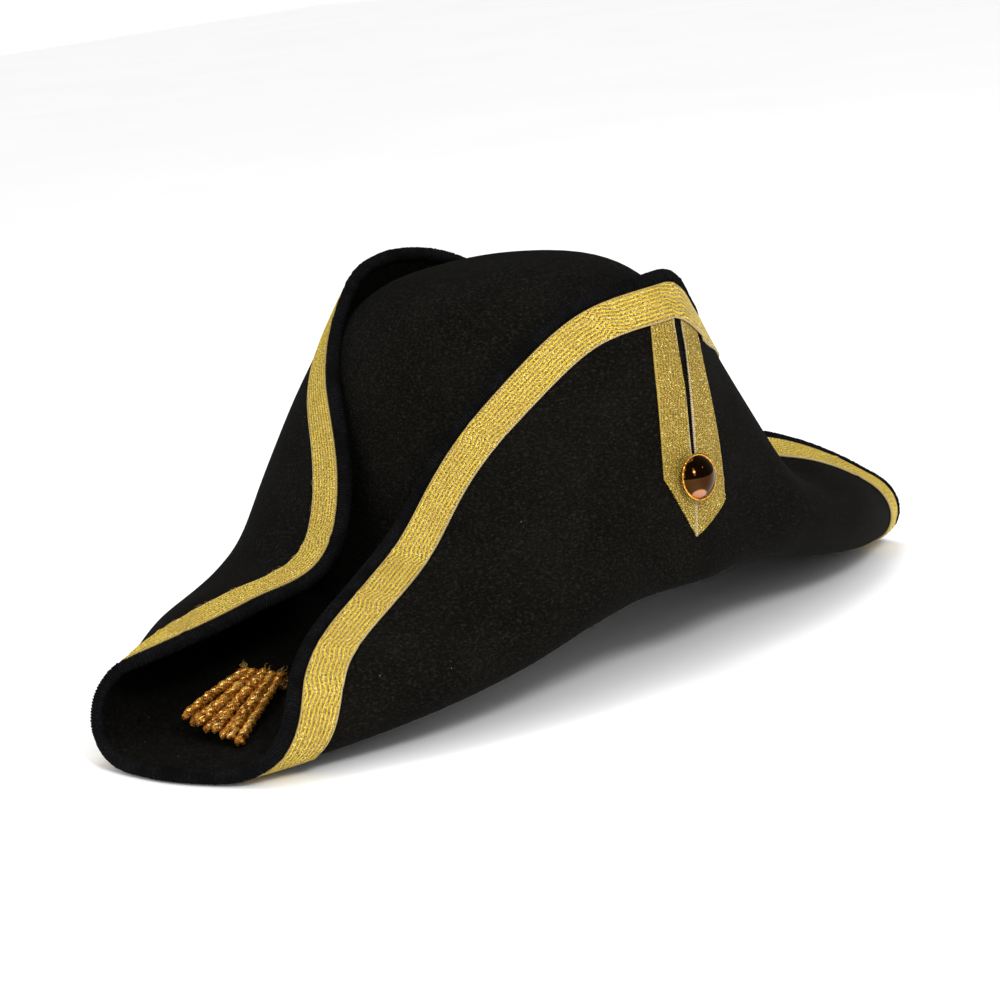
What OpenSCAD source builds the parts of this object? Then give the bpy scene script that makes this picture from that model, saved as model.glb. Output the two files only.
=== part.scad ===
// Two-cornered dress hat of blocked wool felt, with gold braid, a cockade loop and bullion tassels.
// Millimetres. The origin is the centre of the head opening at the head line.
// +Z is up, the two horns point along +X and -X, and the cockade side faces -Y.
// Crown and brim are one piece of felt: a flat brim, folded up in front and behind into two flaps.

/* [Crown] */
// Half the width of the crown at the head line, along the horns
crown_half_x = 84.5; // [82:0.5:87]
// Half the length of the crown at the head line, front to back
crown_half_y = 102; // [100:0.5:102.5]
// Height of the crown above the head line
crown_height = 143; // [125:1:150]
// Squareness of the crown's ends, where 2 is an ellipse
crown_square_x = 3.6; // [2.4:0.1:3.7]
// Squareness of the crown's front and back, where 2 is an ellipse
crown_square_y = 3; // [2.2:0.1:3.1]
// How much narrower the crown is towards its top
crown_taper = 0.02; // [0:0.01:0.06]
// How far the crown's top leans towards the cockade side
crown_lean = 7; // [0:0.5:8]

/* [Brim] */
// Half the length of the hat from horn to horn, to the edge of the felt
brim_reach_x = 229; // [223:1:234]
// Flat distance from the middle to the edge of the front flap
brim_reach_front = 242; // [236:1:246]
// Flat distance from the middle to the edge of the back flap
brim_reach_back = 265; // [256:1:268]
// Fullness of the brim's outline towards the horns
outline_power_x = 1.5; // [1.4:0.05:1.7]
// Fullness of the brim's outline towards the flaps
outline_power_y = 1.76; // [1.6:0.01:1.9]
// Thickness of the felt
felt_t = 3; // [2.5:0.1:3.2]

/* [Edge] */
// How far the edge binding reaches in over the felt
binding_reach = 3; // [2.5:0.1:4]
// Overall thickness of the binding
binding_t = 6; // [5.6:0.1:7]
// Diameter of the wire in the edge
wire_d = 1.4; // [1:0.1:1.5]
// Width of the gold braid
braid_w = 16; // [12:0.5:18]
// Thickness of the gold braid
braid_t = 0.8; // [0.5:0.1:1]

/* [Cockade loop and button] */
// Length of the loop from the rim braid to its point
loop_len = 95; // [90:1:100]
// Length of the loop's point, below its two corners
loop_point = 19; // [14:1:22]
// Gap between the two legs of the loop
loop_slit = 2.4; // [1.5:0.1:4]
// How much lower the loop's right corner is than the middle of its two corners
loop_skew = 4.5; // [0:0.5:6]
// Slant of the loop across the front flap, in degrees
loop_slant = 9; // [0:1:14]
// Distance from the top of the loop down to the button
button_down = 69; // [66:1:73]
// How far the button sits to the left of the loop's middle line
button_shift = 1.5; // [0:0.1:2]
// Radius of the button's dome
button_r = 9.6; // [8:0.1:10]
// Height of the button's dome
button_rise = 6; // [4:0.5:7]

/* [Tassels] */
// Thickness of one bullion cord
cord_d = 4.6; // [3.5:0.1:4.8]
// Length of a tassel's middle cords
cord_len = 50; // [40:1:51]
// How much longer each cord is than the next one away from the cockade side
cord_skew = 1.8; // [0:0.1:2]
// Width of a tassel across its tips
tassel_tip_w = 36; // [34:1:40]

/* [Sweatband] */
// Thickness of the sweatband
sweatband_t = 1; // [0.8:0.1:1.5]

/* [Hidden] */
UPPER_CORDS = 8;
LOWER_CORDS = 3;
SIDES = ["right", "left"];

// How the brim is folded, at seven stations from the middle of the hat towards a horn.
station_x = [0, 36, 72, 108, 149, 196, 239];
// Distance from the centre line at which the felt starts to turn up
fold_start = [102.5, 94.5, 86, 78, 65.5, 43, 15.5];
// Length of felt over which it turns
fold_length = [15, 26, 45, 57.5, 56.5, 51.5, 63];
// Angle it has turned through at the end of that length, in degrees
fold_angle = [90.5, 96.5, 117, 159.5, 155.5, 145.5, 135];
// Angle at the edge of the front flap, and at the edge of the back flap
front_edge_angle = [101.5, 116, 131, 139, 144, 137, 126];
back_edge_angle = [132.5, 135, 146.5, 178.5, 191.5, 183, 168];
// What is added to the front flap's edge angle, and cut off its edge, on the +X side of the cockade
cockade_lean = [0, -3, 0, 0, 0, 0, 0];
cockade_trim = [0, 12, 0, 0, 0, 0, 0];
// Height of the middle of the brim
brim_height = [3.5, 3, -3, -12, -20, -27.5, -32.5];

columns = 112;                                      // points round the hat, a multiple of four
crown_rows = [86, 74, 62, 50, 38, 26, 16, 8, 3, 1, 0.25, 0];    // angles up the crown, from its top down
brim_rows = 10;
bend_parts = 12;                                    // straight parts that a cross-section's turn is summed over
flap_parts = 8;                                     // and those of its flap
last_crown_row = len(crown_rows) - 1;
sweatband_rows = [7, 10];                           // from about 40 mm up the crown to just above the head line
braid_gap = 0.2;                                    // from the binding to the braid
braid_outer = binding_reach + braid_gap;
braid_inner = braid_outer + braid_w;
first_braid_row = last_crown_row + brim_rows;
edge_row = first_braid_row + 3;
lift = 0.15;                                        // clearance between layers sewn together
outer_face = -felt_t / 2;                           // the brim's underside is the outside of the flaps

// ---- numbers along the hat ----

function total(list) = list * [for (v = list) 1];

function station_slope(v, i) =
    let (last = len(v) - 1)
    i == 0 ? 0 :
    i == last ? (v[i] - v[i - 1]) / (station_x[i] - station_x[i - 1]) :
    let (
        before = station_x[i] - station_x[i - 1],
        after = station_x[i + 1] - station_x[i],
        rise_before = (v[i] - v[i - 1]) / before,
        rise_after = (v[i + 1] - v[i]) / after
    )
    (rise_before * after + rise_after * before) / (before + after);

// A smooth curve through a table's seven values
function along(v, x) =
    let (
        last = len(v) - 1,
        a = min(abs(x), station_x[last]),
        i = max([for (k = [0:last - 1]) station_x[k] <= a ? k : 0]),
        h = station_x[i + 1] - station_x[i],
        t = (a - station_x[i]) / h,
        t2 = t * t,
        t3 = t2 * t
    )
    (2 * t3 - 3 * t2 + 1) * v[i] + (t3 - 2 * t2 + t) * h * station_slope(v, i)
    + (3 * t2 - 2 * t3) * v[i + 1] + (t3 - t2) * h * station_slope(v, i + 1);

// ---- the felt's middle surface ----

function reach_y(front) = front ? brim_reach_front : brim_reach_back;

function cockade_side(table, front, x) = front && x > 0 ? along(table, x) : 0;

function edge_y(front, x) =
    reach_y(front) * pow(1 - pow(min(abs(x) / brim_reach_x, 1), outline_power_x), 1 / outline_power_y)
    - cockade_side(cockade_trim, front, x);

// Outline of the flat brim in the direction phi
function outline(phi) =
    let (
        c = cos(phi),
        s = sin(phi),
        x = brim_reach_x * sign(c) * pow(abs(c), 2 / outline_power_x),
        y = reach_y(s < 0) * sign(s) * pow(abs(s), 2 / outline_power_y)
    )
    [x, y + cockade_side(cockade_trim, s < 0, x)];

function ease(u) = u * u * (3 - 2 * u);

past_edge = 1.3;                                    // the most that a flap may curl on beyond its edge

// Cross-section of the folded brim: distance out and height, t millimetres of felt from the centre line
function fold_section(front, x, t) =
    let (
        start = along(fold_start, x),
        bend = along(fold_length, x),
        turned = along(fold_angle, x),
        edge_turned =
            along(front ? front_edge_angle : back_edge_angle, x) + cockade_side(cockade_lean, front, x),
        flap = max(edge_y(front, x) - start - bend, 1),
        in_bend = min(max(t - start, 0), bend),
        in_flap = max(t - start - bend, 0),
        bend_step = in_bend / bend_parts,
        flap_step = in_flap / flap_parts,
        bend_angles = [for (k = [1:bend_parts]) turned * ease((k - 0.5) * bend_step / bend)],
        flap_angles = [
            for (k = [1:flap_parts])
                turned + (edge_turned - turned) * min((k - 0.5) * flap_step / flap, past_edge)
        ]
    )
    [
        min(t, start) + bend_step * total([for (a = bend_angles) cos(a)])
        + flap_step * total([for (a = flap_angles) cos(a)]),
        bend_step * total([for (a = bend_angles) sin(a)])
        + flap_step * total([for (a = flap_angles) sin(a)])
    ];

// Where a point of the flat brim ends up once the brim is folded
function brim_point(p) =
    let (front = p[1] < 0, s = fold_section(front, p[0], abs(p[1])))
    [p[0], front ? -s[0] : s[0], s[1] + along(brim_height, p[0])];

probe = 0.05;                                       // short distance over which directions are measured

function toward_middle(v) = v < 0 ? probe : -probe;

// The two directions of the folded felt at a point of the flat brim
function brim_directions(p) =
    let (here = brim_point(p), dx = toward_middle(p[0]), dy = toward_middle(p[1]))
    [(brim_point(p + [dx, 0]) - here) / dx, (brim_point(p + [0, dy]) - here) / dy];

// One step of d millimetres inwards, square to the edge as measured on the folded felt
function step_in(p, edge, d) =
    let (
        g = brim_directions(p),
        a = g[0] * g[0] * edge[0] + g[0] * g[1] * edge[1],
        b = g[0] * g[1] * edge[0] + g[1] * g[1] * edge[1],
        side = edge[0] * a + edge[1] * b > 0 ? 1 : -1,
        w = side * [-b, a],
        size = norm(g[0] * w[0] + g[1] * w[1])
    )
    p + w * d / size;

function edge_direction(phi) =
    let (d = outline(phi + 0.01) - outline(phi - 0.01))
    d / norm(d);

function inset(phi, d) =
    let (edge = edge_direction(phi))
    step_in(step_in(outline(phi), edge, d / 2), edge, d / 2);

function head_line(phi) = [crown_half_x * cos(phi), crown_half_y * sin(phi)];

function crown_point(phi, e) =
    let (
        n = crown_square_x * pow(cos(phi), 2) + crown_square_y * pow(sin(phi), 2),
        u = pow(sin(e), 2 / n),
        r = pow(cos(e), 2 / n) * (1 - crown_taper * u),
        base = head_line(phi)
    )
    [base[0] * r, base[1] * r - crown_lean * u, crown_height * u + along(brim_height, base[0]) * (1 - u)];

function brim_row(phi) =
    let (from = head_line(phi), to = inset(phi, braid_inner))
    [for (j = [1:brim_rows]) let (s = pow(j / brim_rows, 1.4)) from + (to - from) * s];

// Columns of points from the crown's top down, over the brim and out to the edge
function felt_columns() = [
    for (i = [0:columns - 1])
        let (phi = 360 * (i + 0.5) / columns)
        concat(
            [for (e = crown_rows) crown_point(phi, e)],
            [for (p = brim_row(phi)) brim_point(p)],
            [for (d = [(braid_inner + braid_outer) / 2, braid_outer, 0]) brim_point(inset(phi, d))]
        )
];

function unit(v) = v / norm(v);

// Unit normals on the crown's outer side
function felt_normals(g) = [
    for (i = [0:columns - 1]) [
        for (j = [0:edge_row])
            let (
                round = g[(i + 1) % columns][j] - g[(i + columns - 1) % columns][j],
                out = g[i][min(j + 1, edge_row)] - g[i][max(j - 1, 0)]
            )
            unit(cross(out, round))
    ]
];

// ---- closed solids from grids of points ----

// A four-cornered cell as two triangles, split along its other diagonal if turned
function cell(a, b, c, d, turned = false) = turned ? [[b, c, d], [b, d, a]] : [[a, b, c], [a, c, d]];

// The cells' diagonals mirror each other in the hat's four quarters
function turned_column(i) = floor(4 * i / columns) % 2 == 0;

function flat(list) = [for (part = list) for (v = part) v];

// A ring of equal loops of points, joined loop to loop, with the ends capped or joined to each other.
// outward says which of a loop's steps run towards the brim's edge, so that layers split their cells alike.
module skin(loops, closed, outward = []) {
    count = len(loops);
    size = len(loops[0]);
    last = closed ? count - 1 : count - 2;
    walls = flat([
        for (i = [0:last]) for (k = [0:size - 1])
            let (i2 = (i + 1) % count, k2 = (k + 1) % size)
            cell(i * size + k, i2 * size + k, i2 * size + k2, i * size + k2,
                 closed && turned_column(i) == outward[k])
    ]);
    start_cap = [[for (k = [0:size - 1]) k]];
    end_cap = [[for (k = [size - 1:-1:0]) (count - 1) * size + k]];
    polyhedron(
        points = flat(loops),
        faces = closed ? walls : concat(walls, start_cap, end_cap),
        convexity = 10
    );
}

// The layer of the hat between two heights above the felt's middle surface
module layer(g, n, first, last, low, high) {
    skin([
        for (i = [0:columns - 1]) concat(
            [for (j = [first:last]) g[i][j] + n[i][j] * high],
            [for (j = [last:-1:first]) g[i][j] + n[i][j] * low]
        )
    ], true, [for (high_side = [true, false]) for (j = [first:last]) high_side]);
}

// ---- felt, edge and braid ----

module felt_body() {
    g = felt_columns();
    n = felt_normals(g);
    rows = edge_row + 1;
    upper = flat([for (i = [0:columns - 1]) [for (j = [0:edge_row]) g[i][j] + n[i][j] * felt_t / 2]]);
    lower = flat([for (i = [0:columns - 1]) [for (j = [0:edge_row]) g[i][j] - n[i][j] * felt_t / 2]]);
    under = len(upper);
    top = 2 * under;
    pole = [0, -crown_lean, crown_height];
    faces = flat([
        for (i = [0:columns - 1])
            let (a = i * rows, b = ((i + 1) % columns) * rows)
            concat(
                flat([for (j = [0:edge_row - 1]) concat(
                    cell(a + j, b + j, b + j + 1, a + j + 1, turned_column(i)),
                    cell(under + a + j, under + a + j + 1, under + b + j + 1, under + b + j, turned_column(i))
                )]),
                cell(a + edge_row, b + edge_row, under + b + edge_row, under + a + edge_row),
                [[top, b, a], [top + 1, under + a, under + b]]
            )
    ]);
    color([0.05, 0.05, 0.06])
        polyhedron(
            points = concat(upper, lower, [pole + [0, 0, felt_t / 2], pole - [0, 0, felt_t / 2]]),
            faces = faces,
            convexity = 10
        );
}

// Section of the binding: [distance beyond the felt's edge, distance from its middle]
slot = felt_t / 2 + 0.4;                            // half the height of the slot that the felt sits in
wire_gap = 0.35;                                    // from the felt's edge to the wire, and on to the binding
slot_end = wire_gap + wire_d + wire_gap;
binding_side = [
    [-binding_reach, slot], [-binding_reach, 0.74 * binding_t / 2], [-binding_reach / 2, 0.97 * binding_t / 2],
    [0.3, binding_t / 2], [2, 0.74 * binding_t / 2], [slot_end + 0.9, 0.27 * binding_t / 2]
];
binding_section = concat(
    binding_side,
    [for (k = [len(binding_side) - 1:-1:0]) [binding_side[k][0], -binding_side[k][1]]],
    [[slot_end, -slot], [slot_end, slot]]
);

// A section carried round the felt's edge
module edge_sweep(section) {
    g = felt_columns();
    n = felt_normals(g);
    last = len(section) - 1;
    skin([
        for (i = [0:columns - 1])
            let (
                edge = g[i][edge_row],
                out = unit(edge - g[i][edge_row - 1]),
                turn_in = n[i][edge_row - 1] - n[i][edge_row]
            )
            [for (p = section)
                let (share = max(-p[0] / braid_outer, 0))
                edge + out * p[0] + (n[i][edge_row] + turn_in * share) * p[1]]
    ], true, [for (k = [0:last]) section[k][0] < section[k < last ? k + 1 : 0][0]]);
}

module edge_binding() {
    color([0.07, 0.07, 0.09]) edge_sweep([for (k = [len(binding_section) - 1:-1:0]) binding_section[k]]);
}

module edge_wire() {
    centre = wire_gap + wire_d / 2;
    color([0.6, 0.6, 0.62])
        edge_sweep([for (a = [0:45:315]) [centre + wire_d / 2 * cos(a), wire_d / 2 * sin(a)]]);
}

module rim_braid() {
    g = felt_columns();
    n = felt_normals(g);
    near = outer_face - lift;
    color([0.85, 0.68, 0.2]) layer(g, n, first_braid_row, edge_row - 1, near - braid_t, near);
}

module sweatband() {
    g = felt_columns();
    n = felt_normals(g);
    near = outer_face - 2 * lift;
    color([0.16, 0.11, 0.08]) layer(g, n, sweatband_rows[0], sweatband_rows[1], near - sweatband_t, near);
}

// ---- cockade loop ----

loop_top = [4, -222];                               // on the flat brim, at the rim braid's inner edge
loop_down = [-sin(loop_slant), cos(loop_slant)];
loop_across = [cos(loop_slant), sin(loop_slant)];
loop_half = braid_w + loop_slit / 2;
loop_lift = 0.45;
loop_gap = 1.4;                                     // from the rim braid's inner edge to the loop's ends

function loop_flat(down, across) = loop_top + loop_down * down + loop_across * across;

// How far down the loop's own axis the rim braid's inner edge crosses it
function loop_start(across) =
    let (x = loop_top[0] + loop_across[0] * across, braid_edge = edge_y(true, x) - braid_inner)
    (-loop_top[1] - loop_across[1] * across - braid_edge + loop_gap) / loop_down[1];

function brim_normal(p) = let (g = brim_directions(p)) unit(cross(g[0], g[1]));

function loop_point_at(down, across, height) =
    let (p = loop_flat(down, across))
    brim_point(p) + brim_normal(p) * (outer_face - height);

// Outer and inner edge of one leg, from the top to the corner, then round half of the point
function leg(side) =
    let (
        corner = loop_len - loop_point + side * loop_skew,
        slit_end = button_down - 1,
        outer_start = loop_start(side * loop_half),
        inner_start = loop_start(side * loop_slit / 2)
    )
    concat(
        [for (k = [0:8]) [
            [outer_start + (corner - outer_start) * k / 8, side * loop_half],
            [inner_start + (slit_end - inner_start) * k / 8, side * loop_slit / 2]
        ]],
        [[[(corner + loop_len) / 2, side * loop_half / 2], [slit_end + 0.8, side * loop_slit / 4]]]
    );

module cockade_loop() {
    right = leg(1);
    rows = concat(
        leg(-1),
        [[[loop_len, 0], [button_down, 0]]],
        [for (k = [len(right) - 1:-1:0]) right[k]]
    );
    parts = [0, 1 / 3, 2 / 3, 1];
    color([0.85, 0.68, 0.2])
        skin([
            for (row = rows) concat(
                [for (t = parts)
                    let (p = row[0] * (1 - t) + row[1] * t)
                    loop_point_at(p[0], p[1], loop_lift)],
                [for (k = [3:-1:0])
                    let (p = row[0] * (1 - parts[k]) + row[1] * parts[k])
                    loop_point_at(p[0], p[1], loop_lift + braid_t)]
            )
        ], false);
}

// ---- button, in its own frame: +Z out of the flap, zero on the loop's face ----

button_flat = loop_flat(button_down, -button_shift);
button_axis = -brim_normal(button_flat);
button_side = unit(cross(button_axis, [0, 0, 1]));
button_up = cross(button_side, button_axis);
button_pos = brim_point(button_flat) + button_axis * (felt_t / 2 + loop_lift + braid_t);
button_seat = 3.1;                                  // underside of the back plate
back_t = 0.8;
rim_t = 0.8;
rim_reach = 0.7;                                    // how far the rim stands out beyond the dome
cap_t = 0.6;
cap_gap = 0.05;                                     // between the cap and the back plate
eye_height = 1.9;
eye_r = 1.2;
eye_wire_r = 0.4;
eye_in_plate = 0.02;                                // how deep the eye's ends sit in the plate
thread_r = 0.3;
thread_span = 1.7;
thread_foot = 0.1;                                  // the stitch's ends stop just above the loop

module place(pos, x, y, z) {
    multmatrix([
        [x[0], y[0], z[0], pos[0]],
        [x[1], y[1], z[1], pos[1]],
        [x[2], y[2], z[2], pos[2]],
        [0, 0, 0, 1]
    ]) children();
}

module on_button() {
    place(button_pos, button_side, button_up, button_axis) children();
}

module button_cap() {
    base = button_seat + back_t + cap_gap;
    ball_r = (button_r * button_r + button_rise * button_rise) / (2 * button_rise);
    color([0.72, 0.45, 0.2])
        on_button() {
            difference() {
                union() {
                    translate([0, 0, base + button_rise - ball_r]) sphere(r = ball_r, $fn = 96);
                    translate([0, 0, base]) cylinder(r = button_r + rim_reach, h = rim_t, $fn = 96);
                }
                translate([0, 0, base + button_rise - ball_r]) sphere(r = ball_r - cap_t, $fn = 96);
                translate([0, 0, base - 2 * ball_r]) cylinder(r = 2 * ball_r, h = 2 * ball_r, $fn = 48);
            }
        }
}

module button_back() {
    color([0.6, 0.45, 0.2])
        on_button() translate([0, 0, button_seat]) cylinder(r = button_r - 0.2, h = back_t, $fn = 96);
}

module button_shank() {
    size = 4 * eye_r;
    color([0.6, 0.45, 0.2])
        on_button()
            difference() {
                translate([0, 0, eye_height]) rotate([90, 0, 0])
                    rotate_extrude($fn = 48) translate([eye_r, 0]) circle(r = eye_wire_r, $fn = 24);
                translate([-size / 2, -size / 2, button_seat - eye_in_plate]) cube(size);
            }
}

module button_thread() {
    color([0.1, 0.1, 0.1])
        on_button() {
            translate([0, thread_span, eye_height]) rotate([90, 0, 0])
                cylinder(r = thread_r, h = 2 * thread_span, $fn = 24);
            for (s = [-1, 1]) translate([0, s * thread_span, thread_foot])
                cylinder(r = thread_r, h = eye_height - thread_foot, $fn = 24);
        }
}

// ---- bullion tassels, one in each horn ----
// A tassel lies in the trough of its horn, sewn down at its head, with its cords fanned towards the lip.

tassel_pos = [-156, 16, -9.7];                      // where the upper cords leave the head
tassel_aim = [-203, 1, -20.4];                      // middle of the cords' tips
tassel_roll = 8;
tassel_head_w = 20;
head_len = 8;
head_low = -6.6;
head_high = 2.4;
hinge_back = -5.4;                                  // from the cords' start back to the sewn line
hinge_low = -4.6;
hinge_hole_r = 0.9;
hinge_thread_r = 0.5;
stitch_reach = 1.5;                                 // how far the stitch runs out past the head
back_leg = 7.7;                                     // the stitch's two ends, down to the felt
front_leg = 3.2;

tassel_out = unit(tassel_aim - tassel_pos);
level_side = unit(cross([0, 0, 1], tassel_out));
level_up = cross(tassel_out, level_side);
tassel_side = level_side * cos(tassel_roll) - level_up * sin(tassel_roll);
tassel_up = cross(tassel_out, tassel_side);

module horn(side) {
    mirror([side == "left" ? 1 : 0, 0, 0]) children();
}

module in_tassel() {
    place(tassel_pos, tassel_out, tassel_side, tassel_up) children();
}

function mix(a, b, s) = a + (b - a) * s;

cord_start = 0.4;                                   // from the head to the cords' visible ends
cord_gap = 0.1;                                     // between neighbouring upper cords
under_gap = 0.15;                                   // between a lower cord and its neighbours
tip_curve = 0.04;                                   // how much shorter the outer cords are, by their place squared
lower_shorter = 8;                                  // how much shorter the lower cords are
lower_shift = -3.4;                                 // sideways shift of the lower cords at the head
lower_tip = -4.2;                                   // height of the lower cords' tips
pitch_head = (tassel_head_w - cord_d) / (UPPER_CORDS - 1);
pitch_tip = (tassel_tip_w - cord_d) / (UPPER_CORDS - 1);

// Which side of the tassel's middle an upper cord lies on, counted in cords
function spread(k) = k - (UPPER_CORDS + 1) / 2;

// A cord's middle line: the cords leave the head in a zigzag, and lie almost side by side at their tips
function upper_path(k, s) =
    let (
        pitch = mix(pitch_head, pitch_tip, s),
        rise = sqrt(max(pow(cord_d + cord_gap, 2) - pitch * pitch, 0)),
        length = cord_len + cord_skew * spread(k) - tip_curve * pow(spread(k), 2)
    )
    [cord_start + length * s, spread(k) * pitch, (k % 2 == 0 ? -0.5 : 0.5) * rise];

// A lower cord's tip lies under every other upper cord, on the side away from the cockade
function lower_path(k, s) =
    let (
        over = spread(2 * k - 1),
        head_y = (k - 2) * (cord_d + under_gap) + lower_shift,
        head_z = -1.5 * cord_d - under_gap
    )
    [
        cord_start + (cord_len + cord_skew * over - lower_shorter) * s,
        mix(head_y, over * pitch_tip, s),
        mix(head_z, lower_tip, s)
    ];

module cord(path_points) {
    sides = 8;
    count = len(path_points);
    skin([
        for (i = [0:count - 1])
            let (
                ahead = path_points[min(i + 1, count - 1)] - path_points[max(i - 1, 0)],
                t = unit(ahead),
                across = unit(cross([0, 0, 1], t)),
                up = cross(t, across),
                r = i == count - 1 ? tip_share * cord_d / 2 : cord_d / 2
            )
            [for (a = [0:sides - 1])
                let (angle = 360 * a / sides)
                path_points[i] + (across * cos(angle) + up * sin(angle)) * r]
    ], false);
}

cord_steps = [0, 0.2, 0.4, 0.6, 0.8, 0.96, 1];
tip_share = 0.72;                                   // a cord's end is drawn in to this share of its thickness

module upper_cord(side, k) {
    color([0.72, 0.5, 0.18])
        horn(side) in_tassel() cord([for (s = cord_steps) upper_path(k, s)]);
}

module lower_cord(side, k) {
    color([0.66, 0.44, 0.15])
        horn(side) in_tassel() cord([for (s = cord_steps) lower_path(k, s)]);
}

// The bound head, with the tunnel that its stitch runs through
module tassel_head(side) {
    color([0.7, 0.48, 0.17])
        horn(side) in_tassel()
            translate([0, tassel_head_w / 2, 0]) rotate([90, 0, 0])
                linear_extrude(height = tassel_head_w)
                    difference() {
                        translate([-head_len, head_low]) square([head_len, head_high - head_low]);
                        translate([hinge_back, hinge_low]) circle(r = hinge_hole_r, $fn = 32);
                    }
}

// The stitch that holds the head down, and that the tassel swings on
module tassel_thread(side) {
    half = tassel_head_w / 2 + stitch_reach;
    color([0.08, 0.08, 0.08])
        horn(side) in_tassel()
            translate([hinge_back, 0, hinge_low]) {
                translate([0, half, 0]) rotate([90, 0, 0])
                    cylinder(r = hinge_thread_r, h = 2 * half, $fn = 24);
                for (end = [[-1, back_leg], [1, front_leg]]) translate([0, end[0] * half, -end[1]])
                    cylinder(r = hinge_thread_r, h = end[1], $fn = 24);
            }
}

felt_body();
edge_wire();
edge_binding();
rim_braid();
cockade_loop();
button_cap();
button_back();
button_shank();
button_thread();
sweatband();
for (side = SIDES) {
    tassel_head(side);
    tassel_thread(side);
    for (k = [1:UPPER_CORDS])
        upper_cord(side, k);
    for (k = [1:LOWER_CORDS])
        lower_cord(side, k);
}
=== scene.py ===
"""The looks of a two-cornered dress hat: felt, overcast edge, gold braid, cockade loop, button and tassels.

Lengths are in millimetres until a mesh is made. The hat's shape follows the same rules as the CAD model:
a flat brim, folded up in front and behind by cross-sections that change along the hat.
"""

import math

import bpy
import numpy as np
from mathutils import Matrix, Vector


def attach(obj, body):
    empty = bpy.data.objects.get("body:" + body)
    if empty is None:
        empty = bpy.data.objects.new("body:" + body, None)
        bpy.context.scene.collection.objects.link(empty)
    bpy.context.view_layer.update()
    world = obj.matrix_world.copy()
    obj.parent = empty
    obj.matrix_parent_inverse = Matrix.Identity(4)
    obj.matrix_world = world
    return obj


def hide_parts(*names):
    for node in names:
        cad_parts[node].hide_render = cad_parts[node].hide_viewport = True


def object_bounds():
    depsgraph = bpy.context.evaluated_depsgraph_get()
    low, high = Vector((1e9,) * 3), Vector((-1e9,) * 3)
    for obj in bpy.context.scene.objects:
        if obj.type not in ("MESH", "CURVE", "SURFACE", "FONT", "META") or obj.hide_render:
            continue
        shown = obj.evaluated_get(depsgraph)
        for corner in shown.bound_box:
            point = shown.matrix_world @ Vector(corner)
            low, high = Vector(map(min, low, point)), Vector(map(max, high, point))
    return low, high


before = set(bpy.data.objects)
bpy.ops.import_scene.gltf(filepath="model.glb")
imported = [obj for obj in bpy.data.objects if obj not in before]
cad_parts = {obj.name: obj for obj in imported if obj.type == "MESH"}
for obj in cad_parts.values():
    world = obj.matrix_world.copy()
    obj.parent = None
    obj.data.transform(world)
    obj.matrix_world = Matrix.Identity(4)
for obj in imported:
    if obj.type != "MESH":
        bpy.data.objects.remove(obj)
cad_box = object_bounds()
MM = 0.001

# ---- driving dimensions, the same as the CAD model's ----

CROWN_HALF_X, CROWN_HALF_Y, CROWN_HEIGHT = 84.5, 102.0, 143.0
CROWN_SQUARE_X, CROWN_SQUARE_Y, CROWN_TAPER, CROWN_LEAN = 3.6, 3.0, 0.02, 7.0
REACH_X, REACH_FRONT, REACH_BACK = 229.0, 242.0, 265.0
POWER_X, POWER_Y = 1.5, 1.76
FELT_T = 3.0
STATION_X = np.array([0.0, 36.0, 72.0, 108.0, 149.0, 196.0, 239.0])
FOLD_START = [102.5, 94.5, 86, 78, 65.5, 43, 15.5]
FOLD_LENGTH = [15, 26, 45, 57.5, 56.5, 51.5, 63]
FOLD_ANGLE = [90.5, 96.5, 117, 159.5, 155.5, 145.5, 135]
FRONT_EDGE_ANGLE = [101.5, 116, 131, 139, 144, 137, 126]
BACK_EDGE_ANGLE = [132.5, 135, 146.5, 178.5, 191.5, 183, 168]
COCKADE_LEAN = [0, -3, 0, 0, 0, 0, 0]
COCKADE_TRIM = [0, 12, 0, 0, 0, 0, 0]
BRIM_HEIGHT = [3.5, 3, -3, -12, -20, -27.5, -32.5]
BEND_PARTS, FLAP_PARTS = 12, 8          # straight parts that a cross-section is summed over
FLAP_END = 1.3                          # how far past the edge a flap's own curve goes on, as a share

BRAID_W, BRAID_T, LAYER_GAP = 16.0, 0.8, 0.15
BRAID_OUTER = 3.2                       # from the felt's edge to the rim braid
BINDING_REACH, BINDING_END, BINDING_HALF_T = 3.0, 3.0, 2.95

LOOP_TOP = np.array([4.0, -222.0])
LOOP_LEN, LOOP_POINT, LOOP_SLIT, LOOP_SLANT, LOOP_SKEW = 95.0, 19.0, 2.4, 9.0, 4.5
LOOP_LIFT, BUTTON_DOWN, BUTTON_SHIFT = 0.45, 69.0, 1.5
BUTTON_R, BUTTON_RISE, BUTTON_SEAT, BACK_T = 9.6, 6.0, 3.1, 0.8

CORD_D, CORD_LEN, CORD_SKEW, CORD_START = 4.6, 50.0, 1.8, 0.4
TASSEL_POS = np.array([-156.0, 16.0, -9.7])
TASSEL_AIM = np.array([-203.0, 1.0, -20.4])
TASSEL_ROLL = math.radians(8)
TASSEL_TIP_W, TASSEL_HEAD_W, HEAD_LEN, HEAD_LOW, HEAD_HIGH = 36.0, 20.0, 8.0, -6.6, 2.4
HINGE_BACK, HINGE_LOW, STITCH_R = -5.4, -4.6, 0.5
STITCH_LEGS = {-1: 7.7, 1: 3.2}
UPPER_CORDS, LOWER_CORDS = 8, 3
SIDES = {"right": 1, "left": -1}

TURN = 2 * math.pi


def unit(v):
    return v / np.maximum(np.linalg.norm(v, axis=-1, keepdims=True), 1e-12)


def ease(u):
    u = np.clip(u, 0, 1)
    return u * u * (3 - 2 * u)


def mix(a, b, s):
    return a + (b - a) * s


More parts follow.
